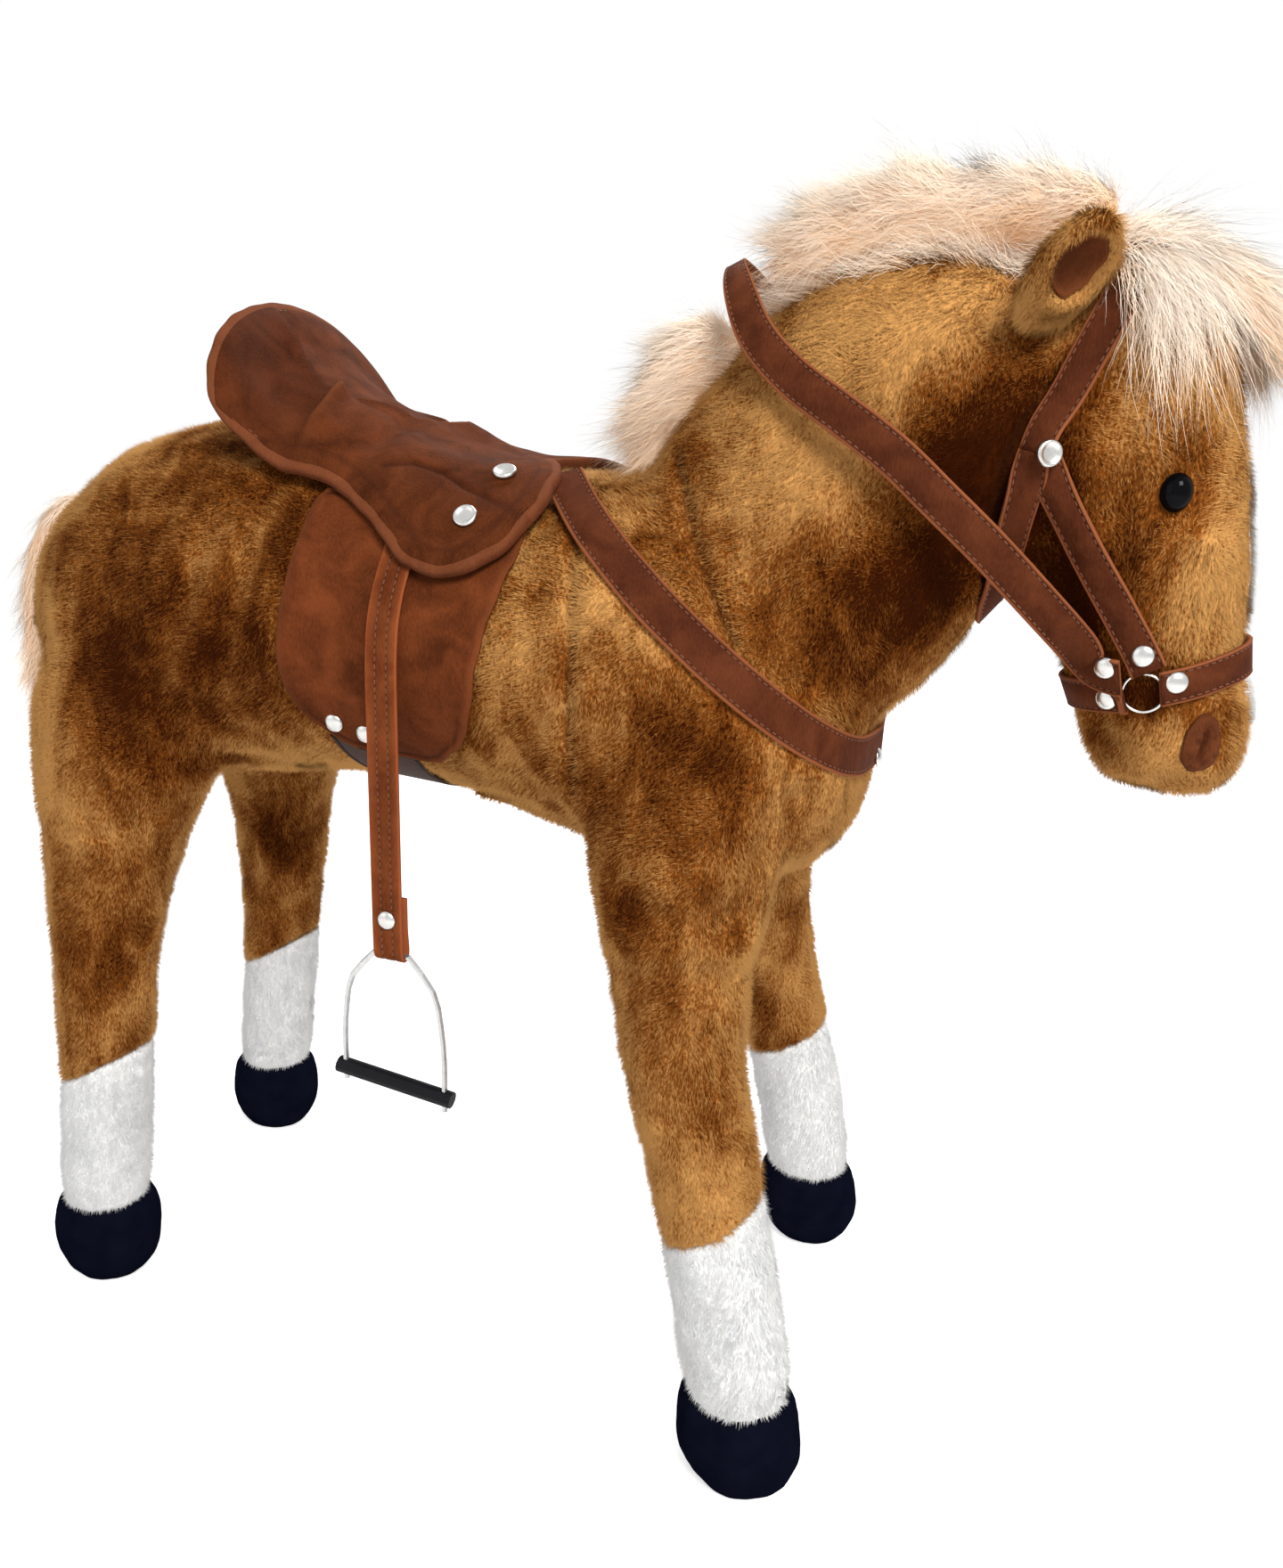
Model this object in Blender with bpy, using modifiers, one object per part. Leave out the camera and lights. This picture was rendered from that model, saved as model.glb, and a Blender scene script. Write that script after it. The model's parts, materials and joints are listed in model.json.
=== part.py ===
"""A plush standing horse with saddle, bridle and stirrups, stuffed over a steel frame.

Metres, +Z up, +X towards the nose, +Y the horse's left. The soles stand at Z = 0.
"""

import math

import bmesh
import bpy
from mathutils import Matrix, Vector
from mathutils.bvhtree import BVHTree

# Clearances
SEAM = 0.0003
BORE_CLEARANCE = 0.0006
LAY = 0.0011
PATCH_LIFT = 0.0006
REACH = 1.0
STRAP_STEP = 0.012
RAY_STEP = math.radians(1)

# Torso
BODY_HEIGHT = 0.460
BODY_LENGTH = 0.560
BODY_DEPTH = 0.215
BODY_WIDTH = 0.240
BODY_X = -0.0713

# Neck
NECK_LENGTH = 0.220
NECK_DEPTH = 0.190
NECK_WIDTH = 0.140

# Head
HEAD_LENGTH = 0.280
HEAD_DEPTH = 0.120
HEAD_WIDTH = 0.116

# Legs
HOOF_SPACING = 0.460
HOOF_MID = 0.018
REAR_TRACK = 0.196
FRONT_TRACK = 0.230
LEG_LEAN = 0.050
LEG_INSET = 0.040
LEG_THICKNESS = 0.070
SOCK_TOP = 0.166
SOCK_TILT = math.radians(30)
HOOF_HEIGHT = 0.060
HOOF_LENGTH = 0.074
HOOF_WIDTH = 0.064

# Steel frame
TUBE_RADIUS = 0.006
TUBE_END = 0.012
FRAME_DROP = 0.015

# Ears and face
EAR_LENGTH = 0.056
EAR_WIDTH = 0.049
EAR_THICKNESS = 0.014
LINING_THICKNESS = 0.0012
EYE_RADIUS = 0.0085
EYE_BULGE = 0.0055
NOSTRIL_LENGTH = 0.026
NOSTRIL_WIDTH = 0.017
NOSTRIL_THICKNESS = 0.0015
BLAZE_WIDTH = 0.034
BLAZE_THICKNESS = 0.0015

# Hair
MANE_WIDTH = 0.044
MANE_HEIGHT = 0.034
PARTING_GAP = 0.001
PARTING_TILT = math.radians(58)
FORELOCK_WIDTH = 0.080
TAIL_LENGTH = 0.240
TAIL_WIDTH = 0.060
TAIL_THICKNESS = 0.044

# Belly flap
BELLY_FLAP_LENGTH = 0.072
BELLY_FLAP_WIDTH = 0.062
BELLY_FLAP_THICKNESS = 0.004

# Saddle
SEAT_LENGTH = 0.206
SEAT_THICKNESS = 0.009
SEAT_PADDING = 0.0026
CANTLE_RISE = 0.052
CANTLE_LEAN = 0.030
FLAP_LENGTH = 0.150
FLAP_WIDTH = 0.126
FLAP_THICKNESS = 0.003
GIRTH_WIDTH = 0.052
GIRTH_THICKNESS = 0.0022
GIRTH_TUCK = 0.005

# Straps
STRAP_WIDTH = 0.022
STRAP_THICKNESS = 0.0025
BRIDLE_WIDTH = 0.017
RIVET_RADIUS = 0.0066
RIVET_HEIGHT = 0.0022
RING_RADIUS = 0.010
RING_WIRE = 0.0011
RING_SINK = 0.0002
HEAD_REACH = 0.110
THROAT_REACH = 0.070
CHIN_REACH = 0.062

# What lies on what: the girth under the flaps, the flaps and breast strap under the seat
FLAP_LIFT = LAY + GIRTH_THICKNESS + 2 * SEAM
SEAT_LIFT = FLAP_LIFT + FLAP_THICKNESS + SEAT_PADDING
RIVET_LIFT = 2 * SEAM
REIN_LIFT = LAY + STRAP_THICKNESS + 2 * SEAM

# Stirrups
LEATHER_WIDTH = 0.018
LEATHER_THICKNESS = 0.0042
RIGHT_LEATHER_LENGTH = 0.222
LEFT_LEATHER_LENGTH = 0.132
LEATHER_X = 0.0335
LEATHER_GAP = 0.0006
LEATHER_STEPS = 10
EYE_WALL = 0.0024
EYE_STEPS = 12
IRON_WIRE = 0.0018
IRON_CLEARANCE = 0.0008
IRON_HEIGHT = 0.080
IRON_WIDTH = 0.063
IRON_BAR = 0.021
IRON_TAIL = 0.008
IRON_TILT = math.radians(6.5)
TREAD_LENGTH = 0.073
TREAD_RADIUS = 0.0048

# A ring of a soft cage has this many points
BODY_SIDES = 12
LIMB_SIDES = 8

# Station: along, top, bottom, half width; shares of the torso's length, depth, depth and width
TORSO_SHARES = (
    (-0.455, 0.20, -0.27, 0.25),
    (-0.388, 0.40, -0.44, 0.41),
    (-0.289, 0.535, -0.50, 0.49),
    (-0.155, 0.555, -0.47, 0.49),
    (-0.020, 0.500, -0.41, 0.48),
    (0.130, 0.465, -0.46, 0.485),
    (0.260, 0.475, -0.57, 0.505),
    (0.365, 0.430, -0.63, 0.47),
    (0.440, 0.190, -0.56, 0.365),
    (0.477, -0.020, -0.42, 0.23),
)
TORSO_END_SHARES = ((-0.497, -0.02), (0.488, -0.22))

# Station: forward, up, front depth, back depth, half width; shares of the neck's length, depth and width
NECK_ROOT_SHARES = (0.327, -0.093)
NECK_SHARES = (
    (0.00, 0.00, 0.38, 0.48, 0.56),
    (0.136, 0.273, 0.53, 0.50, 0.59),
    (0.273, 0.523, 0.51, 0.50, 0.51),
    (0.455, 0.727, 0.54, 0.46, 0.45),
    (0.659, 0.850, 0.56, 0.29, 0.38),
)
NECK_END_SHARES = ((-0.136, -0.136), (0.795, 0.886))
POLL_SHARES = (0.850, 1.105)

# Station: drop, forward, half depth, half width; shares of the head's length, depth, depth and width
HEAD_SHARES = (
    (0.055, 0.00, 0.32, 0.31),
    (0.130, -0.01, 0.43, 0.41),
    (0.260, 0.01, 0.46, 0.47),
    (0.440, 0.08, 0.50, 0.50),
    (0.620, 0.20, 0.445, 0.44),
    (0.760, 0.33, 0.355, 0.36),
    (0.880, 0.42, 0.350, 0.36),
    (0.955, 0.42, 0.270, 0.29),
)
HEAD_END_SHARES = ((0.0, 0.0), (1.0, 0.42))

# Station: height, lean, inset, half length, half width
# shares of the torso's height, and of the leg's lean, inset and thickness
REAR_LEG_SHARES = (
    (0.100, 0.00, 0.00, 0.43, 0.40),
    (0.240, 0.16, 0.00, 0.40, 0.385),
    (0.370, 0.32, 0.00, 0.41, 0.40),
    (0.480, 0.38, 0.00, 0.43, 0.41),
    (0.590, 0.50, 0.10, 0.49, 0.47),
    (0.700, 0.60, 0.25, 0.60, 0.57),
    (0.790, 0.74, 0.45, 0.80, 0.68),
    (0.880, 0.90, 0.65, 1.00, 0.72),
    (0.960, 1.00, 0.95, 1.00, 0.66),
)
FRONT_LEG_SHARES = (
    (0.100, -0.05, 0.00, 0.46, 0.43),
    (0.240, -0.26, 0.05, 0.44, 0.415),
    (0.350, -0.50, 0.12, 0.43, 0.415),
    (0.450, -0.78, 0.24, 0.46, 0.44),
    (0.550, -1.02, 0.38, 0.48, 0.47),
    (0.650, -1.14, 0.55, 0.53, 0.52),
    (0.750, -1.24, 0.75, 0.70, 0.61),
    (0.850, -1.22, 1.00, 0.84, 0.64),
    (0.930, -1.15, 1.20, 0.84, 0.60),
)
# Station of the hoof: height, half length, half width; shares of its height, length and width
HOOF_SHARES = ((0.02, 0.36, 0.36), (0.32, 0.50, 0.50), (0.72, 0.50, 0.50), (1.08, 0.42, 0.43))

# Ears: drop, forward and side of the root, shares of the head's length, depth and width; directions
EAR_ROOT_SHARES = (0.180, -0.29, 0.42)
EAR_RISE = (0.26, 0.62, 0.74)
EAR_FACING = (0.62, 0.76, -0.20)
# Station of the ear: rise, half width, half depth; shares of its length, width and thickness
EAR_SHARES = ((0.0, 0.36, 0.50), (0.30, 0.50, 0.50), (0.62, 0.47, 0.46), (0.90, 0.27, 0.36))
EAR_END_SHARES = (-0.10, 1.02)
# Lining: rise, half height and half width; shares of the ear's length, length and width
LINING_SHARES = (0.56, 0.30, 0.30)

# Drop and forward on the head; shares of its length and depth
EYE_SHARES = (0.439, 0.258)
NOSTRIL_SHARES = (0.857, 0.36)
NOSTRIL_TURN_SHARES = (0.45, 0.89)
BLAZE_SHARES = (0.30, 0.66)
SNIP_SHARES = (0.80, 0.92)

# Saddle seat station: place along, lower edge angle, rise at the middle and at the edges, setback of the middle
# shares of the seat's length, a right angle, the cantle's rise and its lean
SEAT_REAR_SHARE = -0.185
SEAT_SHARES = (
    (0.00, 0.36, 1.00, 0.72, 0.00),
    (0.07, 0.42, 0.74, 0.44, 0.00),
    (0.14, 0.45, 0.48, 0.25, 0.00),
    (0.25, 0.48, 0.22, 0.10, 0.00),
    (0.42, 0.51, 0.05, 0.00, 0.00),
    (0.56, 0.61, -0.02, 0.00, 0.05),
    (0.68, 0.73, -0.04, 0.01, 0.10),
    (0.80, 0.77, -0.04, 0.01, 0.15),
    (0.92, 0.71, -0.04, 0.01, 0.20),
    (1.00, 0.54, -0.04, 0.01, 0.20),
)
SEAT_PLACES = 11

# Lower flap: forward on the torso, height of its top; then rows of drop, back and front edge
# shares of the torso's length and depth; of the flap's length and width
FLAP_TOP_SHARES = (0.054, 0.44)
FLAP_SHARES = (
    (0.00, -0.32, 0.38),
    (0.08, -0.34, 0.45),
    (0.16, -0.37, 0.53),
    (0.30, -0.42, 0.51),
    (0.53, -0.50, 0.46),
    (0.73, -0.51, 0.41),
    (0.87, -0.44, 0.35),
    (0.96, -0.27, 0.25),
    (1.00, -0.12, 0.13),
)
FLAP_ACROSS_SHARES = (0.0, 0.25, 0.5, 0.75, 1.0)

# Middles of the loops round the body, on the torso or the head, and their forward directions
GIRTH_SHARE = 0.011
BREAST_CORE_SHARES = (0.264, 0.26)
BREAST_FORWARD = (0.775, 0, -0.632)
BREAST_ANGLE = math.radians(131)
CROWN_CORE_SHARES = (0.282, -0.173)
CROWN_FORWARD = (0.39, 0, 0.921)
CROWN_ANGLE = math.radians(112)
THROAT_CORE_SHARES = (0.457, -0.315)
THROAT_FORWARD = (0.12, 0, 0.993)
THROAT_ANGLE = math.radians(82)
RIVET_ANGLE = math.radians(124)
MUZZLE_CORE_SHARES = (0.760, 0.358)
MUZZLE_FORWARD = (0.95, 0, 0.312)
NOSE_ANGLE = math.radians(89)
RING_ANGLE = math.radians(105)
CHIN_ANGLE = math.radians(114)
CHEEK_START_SHARE = 0.16
CHEEK_END_SHARE = 0.86

# Reins from the ring to the middle of the loop over the crest: forward, drop and spread
# shares of the head's depth, length and half width
REIN_SHARES = (
    (0.08, 0.742, 0.55),
    (-0.01, 0.704, 0.76),
    (-0.13, 0.650, 1.06),
    (-0.39, 0.543, 1.28),
    (-0.60, 0.465, 1.38),
    (-0.79, 0.396, 1.42),
    (-1.02, 0.332, 1.36),
    (-1.22, 0.280, 1.16),
    (-1.40, 0.212, 0.92),
    (-1.52, 0.130, 0.60),
    (-1.58, 0.085, 0.28),
    (-1.60, 0.072, 0.0),
)
# How far the rein's outer face turns upwards over the crest, at the same places
REIN_TURN_SHARES = (0, 0, 0, 0, 0, 0, 0.05, 0.15, 0.35, 0.6, 0.85, 1.0)

# Rivets in the saddle wing: forward and up; shares of the torso's length and depth
WING_RIVET_SHARES = ((0.123, 0.35), (0.136, 0.46))
# Half outline of a cap rivet from its top to its foot: out and up; shares of its radius and height
RIVET_SHARES = ((0.0, 1.0), (0.55, 0.92), (0.88, 0.62), (1.0, 0.28), (1.0, 0.0), (0.0, 0.0))

# Upper mane, lower mane and forelock: forward, up, height and half width
# shares of the neck's length for the place, then of the mane's height and width
UPPER_MANE_SHARES = (
    (0.095, 0.985, 0.55, 0.40),
    (0.20, 1.060, 0.80, 0.52),
    (0.35, 1.095, 0.85, 0.52),
    (0.52, 1.110, 0.75, 0.50),
    (0.68, 1.120, 0.62, 0.46),
    (0.80, 1.120, 0.50, 0.40),
)
LOWER_MANE_SHARES = (
    (-0.245, 0.560, 0.45, 0.36),
    (-0.215, 0.680, 0.75, 0.46),
    (-0.165, 0.800, 0.85, 0.50),
    (-0.095, 0.890, 0.70, 0.45),
)
FORELOCK_SHARES = (
    (0.88, 1.110, 0.60, 0.30),
    (0.98, 1.075, 0.75, 0.46),
    (1.06, 0.985, 0.62, 0.50),
    (1.09, 0.870, 0.42, 0.40),
    (1.09, 0.780, 0.22, 0.26),
)
# Heights of the dock and of the tail's hinge; shares of the torso's depth
# Tail: back and down from the dock, half width, half thickness; shares of its length, width and thickness
DOCK_SHARE = 0.24
TAIL_HINGE_SHARE = 0.34
TAIL_SHARES = (
    (0.03, -0.02, 0.26, 0.30),
    (0.11, -0.03, 0.34, 0.38),
    (0.19, 0.08, 0.42, 0.44),
    (0.225, 0.28, 0.48, 0.48),
    (0.20, 0.55, 0.50, 0.46),
    (0.15, 0.80, 0.44, 0.40),
    (0.13, 0.95, 0.26, 0.26),
)
TAIL_END_SHARES = ((-0.06, 0.0), (0.13, 1.0))

# Belly flap: forward on the torso of its middle, and rows along and across; shares of its own sizes
BELLY_FLAP_SHARE = 0.136
BELLY_ROW_SHARES = (-0.5, -0.25, 0.0, 0.25, 0.5)

# Half of the stirrup iron from its tail to the middle of its bar: out and down; shares of its sizes
IRON_SHARES = ((0.5, 1.0), (0.5, 0.72), (0.47, 0.45), (0.40, 0.22))

# Rows and places of an oval patch; shares of its half height and half width
OVAL_SHARES = (-0.95, -0.70, -0.35, 0.0, 0.35, 0.70, 0.95)
PATCH_ACROSS_SHARES = (-1.0, -0.5, 0.0, 0.5, 1.0)

# Colour, roughness, metallic
FINISHES = {
    "brown_plush": ((0.30, 0.145, 0.045), 0.95, 0.0),
    "white_plush": ((0.86, 0.86, 0.88), 0.95, 0.0),
    "hoof_cloth": ((0.008, 0.009, 0.018), 0.75, 0.0),
    "pale_hair": ((0.80, 0.66, 0.52), 0.8, 0.0),
    "suede": ((0.20, 0.075, 0.035), 0.85, 0.0),
    "dark_webbing": ((0.06, 0.03, 0.02), 0.8, 0.0),
    "eye_plastic": ((0.004, 0.004, 0.005), 0.08, 0.0),
    "nickel": ((0.62, 0.61, 0.58), 0.3, 1.0),
    "steel": ((0.55, 0.55, 0.55), 0.35, 1.0),
    "tread_rubber": ((0.01, 0.011, 0.016), 0.7, 0.0),
}

for old in list(bpy.data.objects):
    bpy.data.objects.remove(old)


def collection_named(name):
    made = bpy.data.collections.new(name)
    bpy.context.scene.collection.children.link(made)
    return made


HORSE = collection_named("plush_horse")
GUIDES = collection_named("cutters_and_guides")
BORES = collection_named("frame_bores")


def finish_named(name):
    """One Principled material for each finish, made when it is first asked for."""
    if name in bpy.data.materials:
        return bpy.data.materials[name]
    colour, roughness, metallic = FINISHES[name]
    made = bpy.data.materials.new(name)
    made.use_nodes = True
    shader = made.node_tree.nodes["Principled BSDF"]
    shader.inputs["Base Color"].default_value = (*colour, 1.0)
    shader.inputs["Roughness"].default_value = roughness
    shader.inputs["Metallic"].default_value = metallic
    return made


def object_from(name, shape, finish, collection=HORSE):
    """An object from a bmesh, its faces turned outwards and shaded smooth."""
    mesh = bpy.data.meshes.new(name)
    shape.to_mesh(mesh)
    shape.free()
    mesh.shade_smooth()
    made = bpy.data.objects.new(name, mesh)
    collection.objects.link(made)
    if finish:
        mesh.materials.append(finish_named(finish))
    if collection is not HORSE:
        made.hide_render = True
        made.display_type = "WIRE"
    return made


def split(made):
    """Splits every face the same way in a form and in the guide grown from it, so that they keep their gap."""
    modifier = made.modifiers.new("triangles", "TRIANGULATE")
    modifier.quad_method = "FIXED"


def smoothed(made):
    modifier = made.modifiers.new("rounding", "SUBSURF")
    modifier.levels = 1
    modifier.render_levels = 1
    split(made)


def grown(made, gap):
    """A guide with the same shape as this one, larger by a gap all round, to cut a neighbour clear of it."""
    guide = bpy.data.objects.new(made.name + "_clearance", made.data)
    GUIDES.objects.link(guide)
    guide.hide_render = True
    guide.display_type = "WIRE"
    smoothed(guide)
    swell = guide.modifiers.new("gap", "DISPLACE")
    swell.strength = gap
    swell.mid_level = 0.0
    return guide


def cut(made, cutter):
    modifier = made.modifiers.new("cut_" + cutter.name, "BOOLEAN")
    modifier.operation = "DIFFERENCE"
    modifier.object = cutter


def cut_by_bores(made):
    modifier = made.modifiers.new("bores", "BOOLEAN")
    modifier.operation = "DIFFERENCE"
    modifier.operand_type = "COLLECTION"
    modifier.collection = BORES


def hung_from(made, pivot):
    """Moves an object's origin to its joint, with its shape left in place."""
    made.data.transform(Matrix.Translation(-pivot))
    made.location = pivot
    print(made.name, "turns about", [round(value, 5) for value in pivot])
    return made


def evaluated_mesh(made):
    graph = bpy.context.evaluated_depsgraph_get()
    return bpy.data.meshes.new_from_object(made.evaluated_get(graph))


def oval(centre, across, along, front_half, back_half, sides=LIMB_SIDES):
    """A cage ring round a limb. It stands outside the smooth form by what Subdivision Surface takes in."""
    outside = 1 / (2 / 3 + math.cos(2 * math.pi / sides) / 3)
    points = []
    for corner in range(sides):
        angle = 2 * math.pi * corner / sides
        depth = front_half if math.sin(angle) > 0 else back_half
        point = centre + across * math.cos(angle) * outside
        points.append(point + along * depth * math.sin(angle) * outside)
    return points


def across_by(half_width):
    return Vector((0, half_width, 0))


def soft_form(name, rings, ends, finish, collection=HORSE):
    """A stuffed form: a cage of rings closed by a point at each end, rounded by Subdivision Surface."""
    cage = bmesh.new()
    loops = [[cage.verts.new(point) for point in ring] for ring in rings]
    for lower, upper in zip(loops, loops[1:]):
        for corner in range(len(lower)):
            after = (corner + 1) % len(lower)
            cage.faces.new((lower[corner], lower[after], upper[after], upper[corner]))
    for loop, end in ((loops[0], ends[0]), (loops[-1], ends[1])):
        pole = cage.verts.new(end)
        for corner in range(len(loop)):
            cage.faces.new((loop[corner], pole, loop[(corner + 1) % len(loop)]))
    bmesh.ops.recalc_face_normals(cage, faces=cage.faces)
    made = object_from(name, cage, finish, collection)
    smoothed(made)
    return made


def smooth_through(points, steps):
    """Points on a smooth curve through the given ones."""
    padded = [points[0] * 2 - points[1], *points, points[-1] * 2 - points[-2]]
    found = []
    for first, start, end, last in zip(padded, padded[1:], padded[2:], padded[3:]):
        for step in range(steps):
            t = step / steps
            bend = (first * 2 - start * 5 + end * 4 - last) * t * t
            twist = (start * 3 - first - end * 3 + last) * t * t * t
            found.append((start * 2 + (end - first) * t + bend + twist) / 2)
    return [*found, points[-1]]


def tube(name, points, radius, finish, collection=HORSE):
    """A bent tube or wire as a closed mesh, from a curve with a round bevel and filled caps."""
    curve = bpy.data.curves.new(name, "CURVE")
    curve.dimensions = "3D"
    curve.bevel_depth = radius
    curve.bevel_resolution = 1
    curve.use_fill_caps = True
    line = curve.splines.new("POLY")
    line.points.add(len(points) - 1)
    for place, point in zip(line.points, points):
        place.co = (*point, 1.0)
    drawn = bpy.data.objects.new(name + "_line", curve)
    bpy.context.scene.collection.objects.link(drawn)
    bpy.context.view_layer.update()
    mesh = evaluated_mesh(drawn)
    shape = bmesh.new()
    shape.from_mesh(mesh)
    bmesh.ops.remove_doubles(shape, verts=shape.verts, dist=radius / 100)
    bmesh.ops.recalc_face_normals(shape, faces=shape.faces)
    bpy.data.objects.remove(drawn)
    bpy.data.meshes.remove(mesh)
    made = object_from(name, shape, finish, collection)
    made.data.set_sharp_from_angle(angle=math.radians(50))
    return made


def box(name, low, high, finish=None, collection=GUIDES):
    shape = bmesh.new()
    bmesh.ops.create_cube(shape, size=1.0)
    for vertex in shape.verts:
        vertex.co = [low[i] + (vertex.co[i] + 0.5) * (high[i] - low[i]) for i in range(3)]
    return object_from(name, shape, finish, collection)


# Soft body
def torso_point(forward_share, up_share):
    return Vector((BODY_X + forward_share * BODY_LENGTH, 0, BODY_HEIGHT + up_share * BODY_DEPTH))


def neck_point(forward_share, up_share):
    return torso_point(*NECK_ROOT_SHARES) + Vector((forward_share, 0, up_share)) * NECK_LENGTH


def head_point(drop_share, forward_share):
    return neck_point(*POLL_SHARES) + Vector((forward_share * HEAD_DEPTH, 0, -drop_share * HEAD_LENGTH))


def make_torso():
    rings = []
    for along, top, bottom, half_width in TORSO_SHARES:
        centre = torso_point(along, (top + bottom) / 2)
        half_depth = (top - bottom) / 2 * BODY_DEPTH
        across = across_by(half_width * BODY_WIDTH)
        rings.append(oval(centre, across, Vector((0, 0, 1)), half_depth, half_depth, BODY_SIDES))
    return soft_form("torso", rings, [torso_point(*end) for end in TORSO_END_SHARES], "brown_plush")


def make_neck():
    ends = [neck_point(*end) for end in NECK_END_SHARES]
    centres = [neck_point(row[0], row[1]) for row in NECK_SHARES]
    line = [ends[0], *centres, ends[1]]
    rings = []
    for place, (_, _, front, back, half_width) in enumerate(NECK_SHARES):
        along = (line[place + 2] - line[place]).normalized()
        forward = Vector((along.z, 0, -along.x)) * NECK_DEPTH
        across = across_by(half_width * NECK_WIDTH)
        rings.append(oval(centres[place], across, forward, front, back, BODY_SIDES))
    return soft_form("neck", rings, ends, "brown_plush")


def make_head():
    rings = []
    for drop, forward, half_depth, half_width in HEAD_SHARES:
        depth = half_depth * HEAD_DEPTH
        across = across_by(half_width * HEAD_WIDTH)
        centre = head_point(drop, forward)
        rings.append(oval(centre, across, Vector((1, 0, 0)), depth, depth, BODY_SIDES))
    return soft_form("head", rings, [head_point(*end) for end in HEAD_END_SHARES], "brown_plush")


def hoof_centre(end, side):
    """The middle of a hoof's sole: end is -1 at the rear and 1 at the front, side -1 is the horse's right."""
    track = REAR_TRACK if end < 0 else FRONT_TRACK
    return Vector((BODY_X + HOOF_MID + end * HOOF_SPACING / 2, side * track / 2, 0))


def leg_centre(end, side, height_share, lean_share, inset_share):
    offset = Vector((lean_share * LEG_LEAN, -side * inset_share * LEG_INSET, height_share * BODY_HEIGHT))
    return hoof_centre(end, side) + offset


def leg_table(end):
    return REAR_LEG_SHARES if end < 0 else FRONT_LEG_SHARES


def leg_form(name, end, side, finish):
    rings = []
    for height, lean, inset, half_length, half_width in leg_table(end):
        centre = leg_centre(end, side, height, lean, inset)
        length = half_length * LEG_THICKNESS
        rings.append(oval(centre, across_by(half_width * LEG_THICKNESS), Vector((1, 0, 0)), length, length))
    first, last = leg_table(end)[0], leg_table(end)[-1]
    drop = Vector((0, 0, LEG_THICKNESS / 4))
    ends = [leg_centre(end, side, *first[:3]) - drop, leg_centre(end, side, *last[:3]) + drop]
    return soft_form(name, rings, ends, finish)


def sock_cutter(name, end, side, above):
    """A large box whose slanted lower or upper face runs through the top of the sock."""
    low, high = (-SEAM / 2, REACH) if above else (-REACH, SEAM / 2)
    cutter = box(name, (-REACH, -REACH, low), (REACH, REACH, high))
    middle = leg_at_height(end, side, SOCK_TOP)
    cutter.data.transform(Matrix.Translation(middle) @ Matrix.Rotation(-SOCK_TILT, 4, "Y"))
    return cutter


def leg_at_height(end, side, height):
    """The middle of the leg at a height, between its stations."""
    rows = leg_table(end)
    share = height / BODY_HEIGHT
    for low, high in zip(rows, rows[1:]):
        if low[0] <= share <= high[0]:
            t = (share - low[0]) / (high[0] - low[0])
            return leg_centre(end, side, *[a + (b - a) * t for a, b in zip(low[:3], high[:3])])
    return leg_centre(end, side, *(rows[0] if share < rows[0][0] else rows[-1])[:3])


def make_leg(end, side, torso_gap):
    name = ("rear_" if end < 0 else "front_") + ("right" if side < 0 else "left")
    upper = leg_form(f"upper_leg_{name}", end, side, "brown_plush")
    cut(upper, torso_gap)
    cut(upper, sock_cutter(f"below_{name}", end, side, False))
    sock = leg_form(f"sock_{name}", end, side, "white_plush")
    cut(sock, sock_cutter(f"above_{name}", end, side, True))
    top = HOOF_HEIGHT + SEAM
    cut(sock, box(f"under_sock_{name}", (-REACH, -REACH, -REACH), (REACH, REACH, top)))
    hoof = make_hoof(f"hoof_{name}", end, side)
    for piece in (upper, sock, hoof):
        cut_by_bores(piece)


def make_hoof(name, end, side):
    middle = leg_at_height(end, side, HOOF_HEIGHT)
    sole = hoof_centre(end, side)
    rings = []
    for height, half_length, half_width in HOOF_SHARES:
        centre = sole.lerp(Vector((middle.x, middle.y, HOOF_HEIGHT)), height)
        length = half_length * HOOF_LENGTH
        rings.append(oval(centre, across_by(half_width * HOOF_WIDTH), Vector((1, 0, 0)), length, length))
    lowest = sole - Vector((0, 0, HOOF_HEIGHT / 6))
    highest = Vector((middle.x, middle.y, HOOF_HEIGHT * 7 / 6))
    hoof = soft_form(name, rings, [lowest, highest], "hoof_cloth")
    for part, low, high in (("under", -REACH, 0), ("over", HOOF_HEIGHT, REACH)):
        cut(hoof, box(f"{part}_{name}", (-REACH, -REACH, low), (REACH, REACH, high)))
    return hoof


# Steel frame inside
def leg_frame_line(end):
    """Up one leg, across the barrel and down the other, along the middle of the stuffing."""
    up = []
    for row in leg_table(end)[1:7]:
        up.append(leg_centre(end, -1, *row[:3]))
    foot = hoof_centre(end, -1).lerp(up[0], TUBE_END / up[0].z)
    shoulder = leg_centre(end, -1, *leg_table(end)[7][:3])
    shoulder.z = BODY_HEIGHT - FRAME_DROP - TUBE_RADIUS * 3
    across = Vector((shoulder.x, shoulder.y / 2, BODY_HEIGHT - FRAME_DROP))
    right = [foot, *up, shoulder, across]
    return right + [Vector((point.x, -point.y, point.z)) for point in reversed(right)]


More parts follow.
